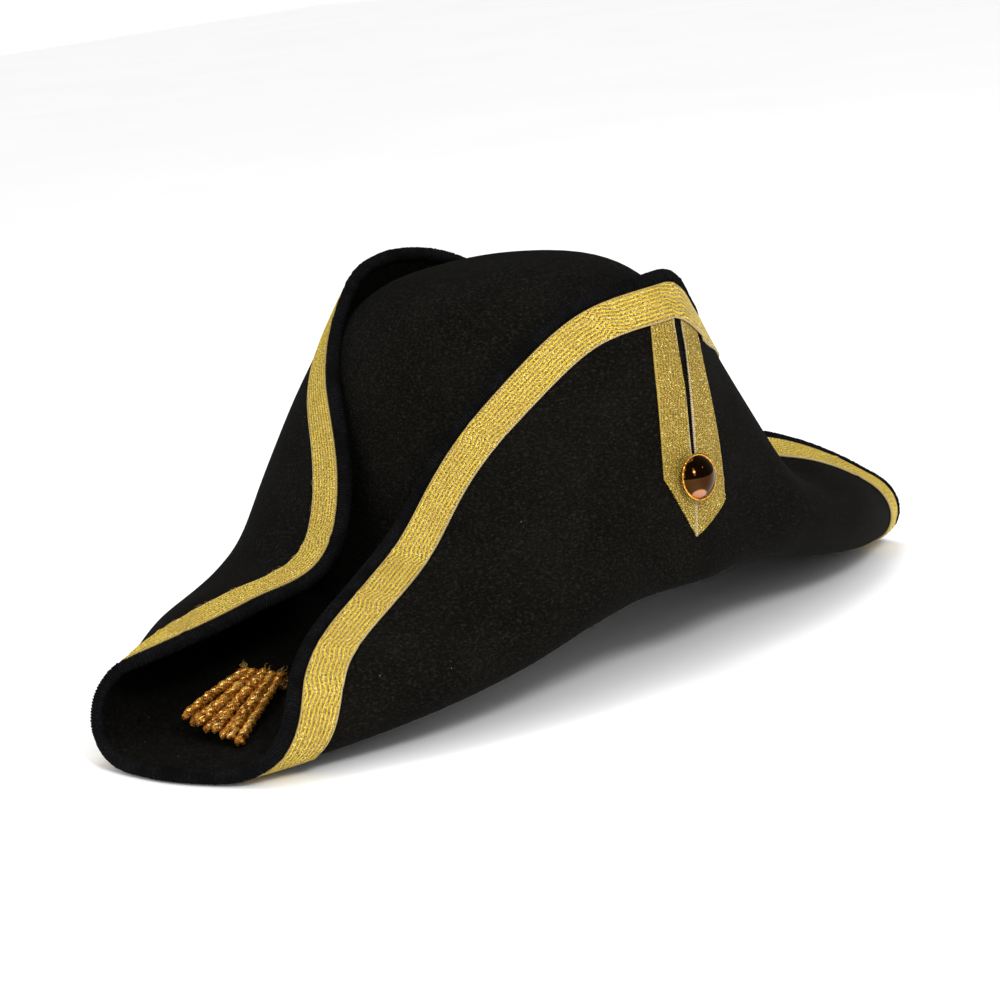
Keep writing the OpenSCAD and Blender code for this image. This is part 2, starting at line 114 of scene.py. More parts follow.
def lengths_along(path):
    """How far along a path each of its points lies."""
    return np.concatenate([[0], np.cumsum(np.linalg.norm(np.diff(path, axis=0), axis=1))])


def read_at(where, lengths, path):
    """The points that lie at given lengths along a path."""
    return np.stack([np.interp(where, lengths, path[:, k]) for k in range(3)], -1)


def closed(values):
    """A loop's values, with the first one again at the end."""
    return np.concatenate([values, values[:1]])


# ---- the felt's middle surface ----


def along(values, x):
    """A smooth curve through a table's seven values, at distance x from the middle of the hat."""
    v = np.asarray(values, float)
    gap = np.diff(STATION_X)
    rise = np.diff(v) / gap
    slope = np.zeros(len(v))
    slope[1:-1] = (rise[:-1] * gap[1:] + rise[1:] * gap[:-1]) / (gap[:-1] + gap[1:])
    slope[-1] = rise[-1]
    a = np.minimum(np.abs(x), STATION_X[-1])
    i = np.clip(np.searchsorted(STATION_X, a, side="right") - 1, 0, len(v) - 2)
    h = gap[i]
    t = (a - STATION_X[i]) / h
    t2, t3 = t * t, t * t * t
    start = (2 * t3 - 3 * t2 + 1) * v[i] + (t3 - 2 * t2 + t) * h * slope[i]
    return start + (3 * t2 - 2 * t3) * v[i + 1] + (t3 - t2) * h * slope[i + 1]


def reach_y(front):
    return np.where(front, REACH_FRONT, REACH_BACK)


def cockade_side(values, front, x):
    return np.where(front & (np.asarray(x) > 0), along(values, x), 0)


def edge_y(front, x):
    share = np.minimum(np.abs(x) / REACH_X, 1)
    return reach_y(front) * (1 - share**POWER_X) ** (1 / POWER_Y) - cockade_side(COCKADE_TRIM, front, x)


def outline(phi):
    """The flat brim's edge in direction phi, as [..., 2]."""
    c, s = np.cos(phi), np.sin(phi)
    x = REACH_X * np.sign(c) * np.abs(c) ** (2 / POWER_X)
    y = reach_y(s < 0) * np.sign(s) * np.abs(s) ** (2 / POWER_Y)
    return np.stack([x, y + cockade_side(COCKADE_TRIM, s < 0, x)], -1)


def brim_point(p):
    """Where points of the flat brim end up once it is folded."""
    x, y = p[..., 0], p[..., 1]
    front = y < 0
    start, bend, turned = along(FOLD_START, x), along(FOLD_LENGTH, x), along(FOLD_ANGLE, x)
    edge_turned = np.where(front, along(FRONT_EDGE_ANGLE, x), along(BACK_EDGE_ANGLE, x))
    edge_turned = edge_turned + cockade_side(COCKADE_LEAN, front, x)
    t = np.abs(y)
    flap = np.maximum(edge_y(front, x) - start - bend, 1)
    in_bend = np.clip(t - start, 0, bend)
    in_flap = np.maximum(t - start - bend, 0)
    out, up = np.minimum(t, start), np.zeros_like(t)
    for share in np.arange(0.5, BEND_PARTS) / BEND_PARTS:
        angle = np.radians(turned * ease(share * in_bend / bend))
        out = out + in_bend * np.cos(angle) / BEND_PARTS
        up = up + in_bend * np.sin(angle) / BEND_PARTS
    for share in np.arange(0.5, FLAP_PARTS) / FLAP_PARTS:
        angle = np.radians(turned + (edge_turned - turned) * np.minimum(share * in_flap / flap, FLAP_END))
        out = out + in_flap * np.cos(angle) / FLAP_PARTS
        up = up + in_flap * np.sin(angle) / FLAP_PARTS
    return np.stack([x, np.where(front, -out, out), up + along(BRIM_HEIGHT, x)], -1)


def brim_directions(p):
    """How the folded brim runs along x and along y at points of the flat one, measured towards the middle."""
    here = brim_point(p)
    dx, dy = (np.where(p[..., k] < 0, 0.05, -0.05) for k in (0, 1))
    zero = np.zeros_like(dx)
    along_x = (brim_point(p + np.stack([dx, zero], -1)) - here) / dx[..., None]
    along_y = (brim_point(p + np.stack([zero, dy], -1)) - here) / dy[..., None]
    return along_x, along_y


def brim_normal(p):
    """The felt's normal on its inner side, which faces the crown."""
    gx, gy = brim_directions(p)
    return unit(np.cross(gx, gy))


def inset(phi, distance, steps=2):
    """The flat point so many millimetres in from the edge, measured square to it on the folded felt."""
    step = 1.7e-4
    edge = unit(outline(phi + step) - outline(phi - step))
    p = outline(phi)
    for _ in range(steps):
        gx, gy = brim_directions(p)
        gxx, gxy, gyy = (gx * gx).sum(-1), (gx * gy).sum(-1), (gy * gy).sum(-1)
        a = gxx * edge[..., 0] + gxy * edge[..., 1]
        b = gxy * edge[..., 0] + gyy * edge[..., 1]
        side = np.where(edge[..., 0] * a + edge[..., 1] * b > 0, 1.0, -1.0)
        w = side[..., None] * np.stack([-b, a], -1)
        size = np.linalg.norm(gx * w[..., :1] + gy * w[..., 1:], axis=-1)
        p = p + w * (np.asarray(distance) / steps / size)[..., None]
    return p


def crown_point(phi, e):
    n = CROWN_SQUARE_X * np.cos(phi) ** 2 + CROWN_SQUARE_Y * np.sin(phi) ** 2
    u = np.sin(e) ** (2 / n)
    r = np.maximum(np.cos(e), 0) ** (2 / n) * (1 - CROWN_TAPER * u)
    x, y = CROWN_HALF_X * np.cos(phi), CROWN_HALF_Y * np.sin(phi)
    return np.stack([x * r, y * r - CROWN_LEAN * u, CROWN_HEIGHT * u + along(BRIM_HEIGHT, x) * (1 - u)], -1)


def waviness(p):
    """Slight unevenness of the blocked felt, shared by everything that is sewn to it."""
    x, y, z = p[..., 0], p[..., 1], p[..., 2]
    slow = np.sin(x / 31 + z / 47 + 0.7) * np.sin(y / 27 - z / 39 + 1.9)
    quick = np.sin(x / 13.7 - y / 19 + 2.3) * np.sin(z / 12.1 + x / 23 + 0.4)
    calm_button = 1 - np.exp(-(((x + 4) / 40) ** 2 + ((y + 113) / 30) ** 2 + ((z - 60) / 60) ** 2) ** 2)
    calm_floor = ease((z + 8) / 25)
    return (0.75 * slow + 0.22 * quick) * calm_button * calm_floor


# ---- meshes ----


def grid_faces(rows, cols, wrap_rows=False, wrap_cols=False):
    i = np.arange(rows if wrap_rows else rows - 1)[:, None]
    k = np.arange(cols if wrap_cols else cols - 1)[None, :]
    i2, k2 = (i + 1) % rows, (k + 1) % cols
    return np.stack([i * cols + k, i2 * cols + k, i2 * cols + k2, i * cols + k2], -1).reshape(-1, 4)


def plain_list(faces):
    return faces.tolist() if isinstance(faces, np.ndarray) else faces


def make_mesh(name, points, faces, uv=None, smooth=True):
    """points in millimetres, faces as an array or list; uv holds layers of per-point coordinates."""
    mesh = bpy.data.meshes.new(name)
    points = np.asarray(points, float).reshape(-1, 3) * MM
    mesh.from_pydata(points.tolist(), [], plain_list(faces))
    for layer_name, values in (uv or {}).items():
        layer = mesh.uv_layers.new(name=layer_name)
        index = np.zeros(len(mesh.loops), np.int32)
        mesh.loops.foreach_get("vertex_index", index)
        layer.data.foreach_set("uv", np.asarray(values, np.float32).reshape(-1, 2)[index].ravel())
    mesh.validate()
    if smooth:
        mesh.polygons.foreach_set("use_smooth", np.ones(len(mesh.polygons), bool))
    mesh.update()
    piece = bpy.data.objects.new(name, mesh)
    bpy.context.scene.collection.objects.link(piece)
    return piece


class Parts:
    """Gathers several closed pieces of mesh into one."""

    def __init__(self):
        self.points, self.faces, self.uvs, self.count = [], [], [], 0

    def add(self, points, faces, uv=None):
        points = np.asarray(points, float).reshape(-1, 3)
        self.points.append(points)
        self.faces.extend([[v + self.count for v in f] for f in plain_list(faces)])
        self.uvs.append(np.zeros((len(points), 2)) if uv is None else np.asarray(uv, float).reshape(-1, 2))
        self.count += len(points)

    def build(self, name):
        return make_mesh(name, np.concatenate(self.points), self.faces, {"UVMap": np.concatenate(self.uvs)})


def frames_along(path):
    """Tangent and two steady normals at each point of a path."""
    tangent = unit(np.gradient(path, axis=0))
    first = unit(np.cross(tangent[0], [0.3, 0.2, 1.0]))
    normals = [first]
    for t in tangent[1:]:
        n = normals[-1] - t * np.dot(normals[-1], t)
        normals.append(n / max(np.linalg.norm(n), 1e-9))
    normals = np.array(normals)
    return tangent, normals, np.cross(tangent, normals)


def tube(parts, path, radius, sides=8, taper=0.0):
    """A round tube along a path, with closed ends. taper draws both ends in by that share."""
    path = np.asarray(path, float)
    count = len(path)
    _, a, b = frames_along(path)
    angle = np.arange(sides) * TURN / sides
    r = np.broadcast_to(np.asarray(radius, float), count).copy()
    if taper:
        r[0] *= 1 - taper
        r[-1] *= 1 - taper
    cos, sin = np.cos(angle)[None, :, None], np.sin(angle)[None, :, None]
    points = path[:, None] + (cos * a[:, None] + sin * b[:, None]) * r[:, None, None]
    faces = grid_faces(count, sides, wrap_cols=True).tolist()
    faces.append(list(range(sides))[::-1])
    faces.append([(count - 1) * sides + k for k in range(sides)])
    uv = np.stack(np.broadcast_arrays(lengths_along(path)[:, None], (angle * r.mean())[None]), -1)
    parts.add(points, faces, uv)


# ---- materials ----


class Shader:
    """A material's nodes, made one call at a time."""

    def __init__(self, name, **sockets):
        self.material = bpy.data.materials.new(name)
        self.material.use_nodes = True
        self.nodes = self.material.node_tree.nodes
        self.links = self.material.node_tree.links
        self.surface = self.nodes["Principled BSDF"]
        for socket, value in sockets.items():
            self.surface.inputs[socket.replace("_", " ")].default_value = value

    def node(self, kind, inputs=None, **settings):
        made = self.nodes.new("ShaderNode" + kind)
        for key, value in settings.items():
            setattr(made, key, value)
        for key, value in (inputs or {}).items():
            if isinstance(value, bpy.types.NodeSocket):
                self.links.new(value, made.inputs[key])
            else:
                made.inputs[key].default_value = value
        return made

    def math(self, operation, a, b=0.0):
        return self.node("Math", {0: a, 1: b}, operation=operation).outputs[0]

    def times(self, a, b):
        return self.math("MULTIPLY", a, b)

    def plus(self, a, b):
        return self.math("ADD", a, b)

    def minus(self, a, b):
        return self.math("SUBTRACT", a, b)

    def scaled(self, source, factors):
        return self.node("Mapping", {"Vector": source, "Scale": factors}).outputs[0]

    def noise(self, source, scale, detail=3.0, roughness=0.55):
        inputs = {"Vector": source, "Scale": scale, "Detail": detail, "Roughness": roughness}
        return self.node("TexNoise", inputs).outputs["Fac"]

    def cells(self, source, scale):
        return self.node("TexVoronoi", {"Vector": source, "Scale": scale}).outputs["Distance"]

    def ramp(self, factor, *stops):
        """Blends through stops, each a place from 0 to 1 and a colour."""
        made = self.node("ValToRGB", {"Fac": factor})
        elements = made.color_ramp.elements
        while len(elements) < len(stops):
            elements.new(0.5)
        for element, (place, colour) in zip(elements, stops):
            element.position = place
            element.color = (*colour, 1)
        return made.outputs["Color"]

    def between(self, factor, low, high):
        """0 below low, 1 above high."""
        inputs = {"Value": factor, "From Min": low, "From Max": high}
        return self.node("MapRange", inputs, interpolation_type="SMOOTHSTEP").outputs["Result"]

    def blend(self, factor, a, b):
        made = self.node("Mix", data_type="RGBA")
        for index, value in ((0, factor), (6, a), (7, b)):
            if isinstance(value, bpy.types.NodeSocket):
                self.links.new(value, made.inputs[index])
            else:
                made.inputs[index].default_value = (*value, 1) if index else value
        return made.outputs[2]

    def set(self, socket, value):
        self.links.new(value, self.surface.inputs[socket])

    def bump(self, height, distance, strength=1.0):
        made = self.node("Bump", {"Height": height, "Distance": distance * MM, "Strength": strength})
        self.set("Normal", made.outputs["Normal"])

    def place(self):
        return self.node("TexCoord").outputs["Object"]

    def uv(self, layer="UVMap"):
        return self.node("UVMap", uv_map=layer).outputs["UV"]


def felt_material():
    """Blocked wool felt: matted fibres, faint mottling, a soft nap and a little lint."""
    m = Shader("felt", Sheen_Weight=0.002, Sheen_Roughness=0.5, Specular_IOR_Level=0.04)
    m.surface.inputs["Sheen Tint"].default_value = (0.9, 0.88, 0.8, 1)
    place = m.place()
    mottle = m.noise(place, 38, 4, 0.55)
    fibre = m.noise(m.scaled(place, (1, 1, 1.7)), 620, 6, 0.8)
    nap = m.noise(place, 1500, 2, 0.6)
    colour = m.blend(m.between(mottle, 0.25, 0.8), (0.0024, 0.0022, 0.0016), (0.0044, 0.0041, 0.0031))
    colour = m.blend(m.between(fibre, 0.5, 0.68), colour, (0.0150, 0.0142, 0.0115))
    colour = m.blend(m.between(fibre, 0.48, 0.34), colour, (0.0008, 0.0008, 0.0006))
    lint = m.cells(m.scaled(place, (1, 2.2, 1)), 95)
    speck = m.times(m.between(lint, 0.05, 0.03), m.between(m.noise(place, 35, 1), 0.6, 0.64))
    m.set("Base Color", m.blend(speck, colour, (0.085, 0.084, 0.078)))
    m.set("Roughness", m.between(fibre, -0.6, 0.75))
    m.bump(m.plus(m.times(fibre, 0.6), m.times(nap, 0.4)), 0.35, 0.55)
    return m.material


def yarn_material(name):
    """Black overcast yarn, faintly blue, with fine twisted fibres."""
    m = Shader(name, Roughness=0.85, Sheen_Weight=0.002, Sheen_Roughness=0.5, Specular_IOR_Level=0.05)
    place = m.place()
    fibre = m.noise(place, 1100, 5, 0.75)
    patch = m.noise(place, 90, 2)
    colour = m.blend(m.between(fibre, 0.4, 0.72), (0.0022, 0.0023, 0.0026), (0.0105, 0.0108, 0.0122))
    m.set("Base Color", m.blend(m.between(patch, 0.35, 0.75), colour, (0.002, 0.002, 0.0023)))
    m.bump(fibre, 0.2, 0.8)
    return m.material


def braid_material(name, pitch, ridge_colours, band_colours, contrast, edge_colours):
    """Woven metallic braid: ridges of gilt warp between bands of diagonal weft, with painted shade in the
    weave's gaps and painted glints on its wires.

    UV map "weave" holds millimetres along and across the weave, with its kinks, and "edge" the plain distance
    across. Each set of colours runs from dark to light.
    """
    m = Shader(name, Specular_IOR_Level=0.25)
    weave, edge = m.uv("weave"), m.uv("edge")
    split = m.node("SeparateXYZ", {"Vector": weave})
    run, across = split.outputs["X"], split.outputs["Y"]
    edge_across = m.node("SeparateXYZ", {"Vector": edge}).outputs["Y"]
    # Distance from the middle of a band, from 0 to 0.5 of the pitch
    phase = m.math("FRACT", m.math("DIVIDE", across, pitch))
    off_band = m.math("ABSOLUTE", m.minus(phase, 0.5))
    wander = m.times(m.minus(m.noise(m.scaled(weave, (0.8, 1.5, 1)), 1.0, 3), 0.5), 0.3)
    ridge = m.between(m.plus(off_band, wander), 0.25, 0.35)
    # Wire wraps that cross a ridge, and the diagonal weft between ridges
    wraps = m.math("SINE", m.times(m.plus(run, m.times(across, 0.55)), TURN / 0.8))
    slant = m.plus(run, m.times(across, -1.3))
    weft = m.math("SINE", m.times(slant, TURN / 0.95))
    grain = m.noise(m.scaled(weave, (1.3, 1.9, 1)), 1.0, 4, 0.75)
    speckle = m.noise(m.scaled(weave, (1.15, 1.5, 1)), 1.0, 2, 0.6)
    warp = m.ramp(m.plus(m.times(wraps, 0.05), grain), *zip((0.37, 0.5, 0.61), ridge_colours))
    band = m.ramp(m.plus(m.times(weft, 0.1), grain), *zip((0.36, 0.47, 0.56, 0.66), band_colours))
    colour = m.blend(m.times(ridge, contrast), band, warp)
    # Painted shade: the weave's gaps, sunk by the bump as well, are darkened towards dark gold-brown
    shaded_gaps = m.times(m.between(speckle, 0.52, 0.6), m.minus(1.0, m.times(ridge, 0.55)))
    colour = m.blend(m.times(shaded_gaps, 0.85), colour, (0.085, 0.05, 0.007))
    worn = m.between(m.noise(m.place(), 60, 2), 0.4, 0.7)
    colour = m.blend(m.times(worn, 0.22), colour, band_colours[1])
    # Painted glints: small bright gold flecks in the colour, standing in for highlights on the wires
    painted_glint = m.between(m.cells(m.scaled(weave, (0.9, 1.2, 1)), 1.0), 0.3, 0.16)
    glint_patches = m.between(m.noise(m.scaled(weave, (0.4, 0.6, 1)), 1.0, 2), 0.46, 0.56)
    colour = m.blend(m.times(painted_glint, glint_patches), colour, (1.0, 0.88, 0.40))
    picot = m.math("ABSOLUTE", m.math("SINE", m.times(run, math.pi / PICOT_PITCH)))
    tone = m.times(picot, m.plus(grain, 0.5))
    outer = m.between(edge_across, 0.6, 0.4)
    inner = m.between(edge_across, BRAID_W - 0.75, BRAID_W - 0.5)
    colour = m.blend(outer, colour, m.ramp(tone, (0.1, (0.3, 0.2, 0.06)), (0.9, edge_colours[0])))
    colour = m.blend(inner, colour, m.ramp(tone, (0.1, (0.3, 0.22, 0.09)), (0.9, edge_colours[1])))
    m.set("Base Color", colour)
    m.set("Metallic", m.plus(0.1, m.times(ridge, 0.25)))
    m.set("Roughness", m.minus(0.6, m.times(grain, 0.35)))
    fine = m.plus(m.times(wraps, m.times(ridge, 0.3)), m.times(weft, 0.3))
    height = m.minus(m.plus(fine, m.times(grain, 1.6)), shaded_gaps)
    m.bump(height, 0.2, 0.9)
    return m.material


def bullion_material():
    """Gilt cord gone coppery, a little darker in its coil's hollows and lighter along its turns as painted
    shade and painted light. UV: millimetres along and round.
    """
    m = Shader("bullion_cord", Metallic=0.75)
    uv, place = m.uv(), m.place()
    split = m.node("SeparateXYZ", {"Vector": uv})
    coil = m.plus(split.outputs["X"], m.times(split.outputs["Y"], 0.35))
    turns = m.math("SINE", m.times(coil, TURN / 0.8))
    grain = m.noise(place, 420, 3, 0.6)
    # Painted shade and light: the coil's turns darken the colour in its hollows and lighten it on its turns,
    # as in the bump
    tone = m.plus(m.times(turns, 0.03), grain)
    colour = m.ramp(tone, (0.34, (0.12, 0.036, 0.004)), (0.5, (0.52, 0.19, 0.020)),
                    (0.62, (0.88, 0.44, 0.065)), (0.76, (0.98, 0.70, 0.20)))
    m.set("Base Color", colour)
    m.set("Roughness", m.plus(0.12, m.times(grain, 0.3)))
    m.bump(m.plus(m.times(turns, 0.5), grain), 0.16, 0.8)
    return m.material


def highlight_wire_material():
    """The gilt wires laid between a cord's plies, coloured bright gold: partly their own gilt and partly a
    painted highlight along the plies' edges.
    """
    m = Shader("bullion_highlight_wire", Metallic=0.8)
    place = m.place()
    tone = m.noise(place, 260, 3)
    # Bright gold: partly the wires' own gilt and partly a painted highlight along the plies' edges
    colour = m.ramp(tone, (0.38, (0.42, 0.17, 0.02)), (0.5, (0.85, 0.52, 0.10)), (0.64, (1.0, 0.85, 0.38)))
    m.set("Base Color", colour)
    m.set("Roughness", m.plus(0.14, m.times(tone, 0.2)))
    m.bump(m.noise(place, 900, 2), 0.06, 0.6)
    return m.material


def wisp_material(name):
    """Fine loose filaments, paler than the cord."""
    m = Shader(name, Roughness=0.4, Metallic=0.5)
    tone = m.noise(m.place(), 400, 2)
    m.set("Base Color", m.ramp(tone, (0.3, (0.25, 0.125, 0.02)), (0.7, (0.62, 0.42, 0.14))))
    return m.material


def button_material():
    """Polished copper, darkened as a painted reflection of dark surroundings, with faint polishing marks, and
    a clear copper patch low on the dome that is a painted reflection of the pale floor.
    """
    m = Shader("button_metal", Metallic=1.0)
    place = m.place()
    tone = m.noise(place, 130, 3)
    # Copper-coloured, but darkened as a painted reflection of dark surroundings
    dark = m.ramp(tone, (0.3, (0.034, 0.013, 0.004)), (0.7, (0.070, 0.031, 0.010)))
    # Painted reflection of the pale floor: a clear copper patch low on the dome
    floor_reflection_distance = m.node("VectorMath", {0: place, 1: tuple(FLOOR_REFLECTION_SPOT * MM)}, operation="DISTANCE").outputs["Value"]
    patch = m.between(m.plus(floor_reflection_distance, m.times(tone, 0.0012)), 0.0046, 0.0036)
    m.set("Base Color", m.blend(patch, dark, (0.60, 0.27, 0.16)))
    marks = m.noise(m.scaled(place, (1, 1, 6)), 700, 3)
    m.set("Roughness", m.plus(0.04, m.times(marks, 0.07)))
    m.bump(m.noise(place, 320, 2), 0.02, 0.3)
    return m.material


def flange_material():
    """The button's turned-out rim: brighter orange gold, left unpolished."""
    m = Shader("button_flange", Metallic=1.0, Roughness=0.25)
    tone = m.noise(m.place(), 420, 3)
    m.set("Base Color", m.ramp(tone, (0.35, (0.55, 0.17, 0.012)), (0.6, (0.95, 0.50, 0.07))))
    m.bump(tone, 0.08, 0.6)
    return m.material


def dull_metal(name, scale, detail, dark, light, roughness, spread):
    """A plain metal whose tone and roughness wander together."""
    m = Shader(name, Metallic=1.0)
    tone = m.noise(m.place(), scale, detail)
    m.set("Base Color", m.ramp(tone, (0.3, dark), (0.7, light)))
    m.set("Roughness", m.plus(roughness, m.times(tone, spread)))
    return m.material


def brass_material(name):
    return dull_metal(name, 300, 4, (0.34, 0.20, 0.07), (0.58, 0.38, 0.14), 0.22, 0.35)


def wire_material():
    return dull_metal("edge_wire_steel", 500, 3, (0.28, 0.28, 0.29), (0.50, 0.50, 0.52), 0.3, 0.2)


def thread_material():
    m = Shader("black_thread", Roughness=0.6, Sheen_Weight=0.1)
    uv = m.node("SeparateXYZ", {"Vector": m.uv()})
    twist = m.math("SINE", m.times(m.plus(uv.outputs["X"], uv.outputs["Y"]), TURN / 0.5))
    # Painted shade: the twist darkens the colour in its grooves and lightens it on its ridges, as the bump
    # does
    m.set("Base Color", m.ramp(m.plus(m.times(twist, 0.3), 0.5),
                               (0.2, (0.008, 0.008, 0.009)), (0.8, (0.035, 0.035, 0.04))))
    m.bump(twist, 0.05, 0.8)
    return m.material


def leather_material():
    """Dark brown sweatband leather with a fine grain, worn lighter in patches."""
    m = Shader("sweatband_leather", Specular_IOR_Level=0.45)
    place = m.place()
    grain = m.cells(place, 900)
    patch = m.noise(place, 45, 4)
    colour = m.ramp(patch, (0.3, (0.030, 0.015, 0.008)), (0.7, (0.075, 0.040, 0.022)))
    m.set("Base Color", m.blend(m.between(grain, 0.25, 0.02), colour, (0.016, 0.008, 0.005)))
    m.set("Roughness", m.plus(0.38, m.times(patch, 0.25)))
    m.bump(m.plus(grain, m.times(patch, 0.4)), 0.12, 0.7)
    return m.material


def finish_piece(piece, material, body, slot, *nodes):
    piece.data.materials.append(material)
    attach(piece, body)
    if nodes:
        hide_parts(*nodes)


# ---- felt ----

FELT_COLUMNS, CROWN_ROWS, BRIM_ROWS = 480, 44, 54


def corner_round(phi):
    """How far the felt's turn from crown to brim is rounded: wide in the horns, tight behind the flaps."""
    return 4.5 + 13.5 * np.cos(phi) ** 4


def felt_path(phi):
    """The felt's middle line from the crown's top to the brim's edge, for each phi, evenly spaced."""
    e = np.pi / 2 * (1 - np.linspace(0, 1, 240)) ** 1.6
    crown = crown_point(phi[:, None], e[None, :])
    s = np.linspace(0, 1, 240)[1:]
    head = np.stack([CROWN_HALF_X * np.cos(phi), CROWN_HALF_Y * np.sin(phi)], -1)
    brim = brim_point(mix(head[:, None], outline(phi)[:, None], s[None, :, None]))
    path = np.concatenate([crown, brim], axis=1)
    made = []
    for line, reach in zip(path, corner_round(phi)):
        t = lengths_along(line)
        t -= t[len(e) - 1]
        rows = np.concatenate([np.linspace(t[0], 0, CROWN_ROWS + 1)[1:],
                               np.linspace(0, t[-1], BRIM_ROWS + 1)[1:]])
        before, corner, after = read_at([-reach, 0.0, reach], t, line)
        u = np.clip((rows + reach) / (2 * reach), 0, 1)[:, None]
        bent = (1 - u) ** 2 * before + 2 * u * (1 - u) * corner + u**2 * after
        made.append(np.where(np.abs(rows)[:, None] < reach, bent, read_at(rows, t, line)))
    return np.array(made)


def grid_normals(g, wrap=True):
    """Unit normals of a grid [around, out, 3], on the crown's outer side."""
    round_ = np.roll(g, -1, 0) - np.roll(g, 1, 0) if wrap else np.gradient(g, axis=0)
    out = np.gradient(g, axis=1)
    return unit(np.cross(out, round_))


def make_felt():
    phi = (np.arange(FELT_COLUMNS) + 0.5) * TURN / FELT_COLUMNS
    g = felt_path(phi)
    n = grid_normals(g)
    g = g + n * waviness(g)[..., None]
    rows = g.shape[1]
    upper, lower = g + n * FELT_T / 2, g - n * FELT_T / 2
    # The edge is rounded over, inside the binding
    upper[:, -1] = g[:, -1] + n[:, -1] * FELT_T / 4
    lower[:, -1] = g[:, -1] - n[:, -1] * FELT_T / 4
    parts = Parts()
    count = FELT_COLUMNS * rows
    faces = grid_faces(FELT_COLUMNS, rows, wrap_rows=True)
    under = faces[:, ::-1] + count
    i = np.arange(FELT_COLUMNS) * rows
    i2 = np.roll(i, -1)
    last = rows - 1
    rim = np.stack([i + last, i2 + last, count + i2 + last, count + i + last], -1)
    top = 2 * count
    cap = [[top, b, a] for a, b in zip(i, i2)]
    cap_under = [[top + 1, count + a, count + b] for a, b in zip(i, i2)]
    all_faces = faces.tolist() + under.tolist() + rim.tolist() + cap + cap_under
    pole = np.array([[0, -CROWN_LEAN, CROWN_HEIGHT + side * FELT_T / 2] for side in (1, -1)])
    points = np.concatenate([upper.reshape(-1, 3), lower.reshape(-1, 3), pole])
    parts.add(points, all_faces)
    finish_piece(parts.build("felt_hat"), felt_material(), "hat", "felt", "felt_body")


# ---- overcast edge ----

EDGE_SAMPLES = 6000
STITCH_PITCH = 1.2
YARN_R = 0.5
BINDING_JOIN = math.radians(205)        # direction in which the binding's two ends overlap


def edge_frames(count=None, pitch=None):
    """Evenly spaced points of the felt's edge, with the directions out of it, along it and off the felt."""
    phi = np.arange(EDGE_SAMPLES) * TURN / EDGE_SAMPLES + 1e-4
    p = outline(phi)
    at = brim_point(p)
    inner = brim_point(inset(phi, np.full(EDGE_SAMPLES, BRAID_OUTER)))
    out = unit(at - inner)
    run = unit(np.roll(at, -1, 0) - np.roll(at, 1, 0))
    normal = unit(np.cross(out, run))
    out = unit(np.cross(run, normal))
    at = at + normal * waviness(at)[:, None]
    step = np.linalg.norm(np.roll(at, -1, 0) - at, axis=1)
    length = np.concatenate([[0], np.cumsum(step)])
    total = length[-1]
    count = count or int(round(total / pitch))
    where = np.arange(count) * total / count

    def pick(v):
        closed = np.concatenate([v, v[:1]])
        return np.stack([np.interp(where, length, closed[:, k]) for k in range(3)], -1)

    turn = np.interp(where, length, np.concatenate([phi, [phi[0] + TURN]]))
    return pick(at), unit(pick(out)), unit(pick(run)), unit(pick(normal)), turn, total


def binding_swell(turn):
    """The binding is thicker where its two ends overlap."""
    off = (turn - BINDING_JOIN + math.pi) % TURN - math.pi
    return 1 + 0.22 * np.exp(-(off / 0.022) ** 2)


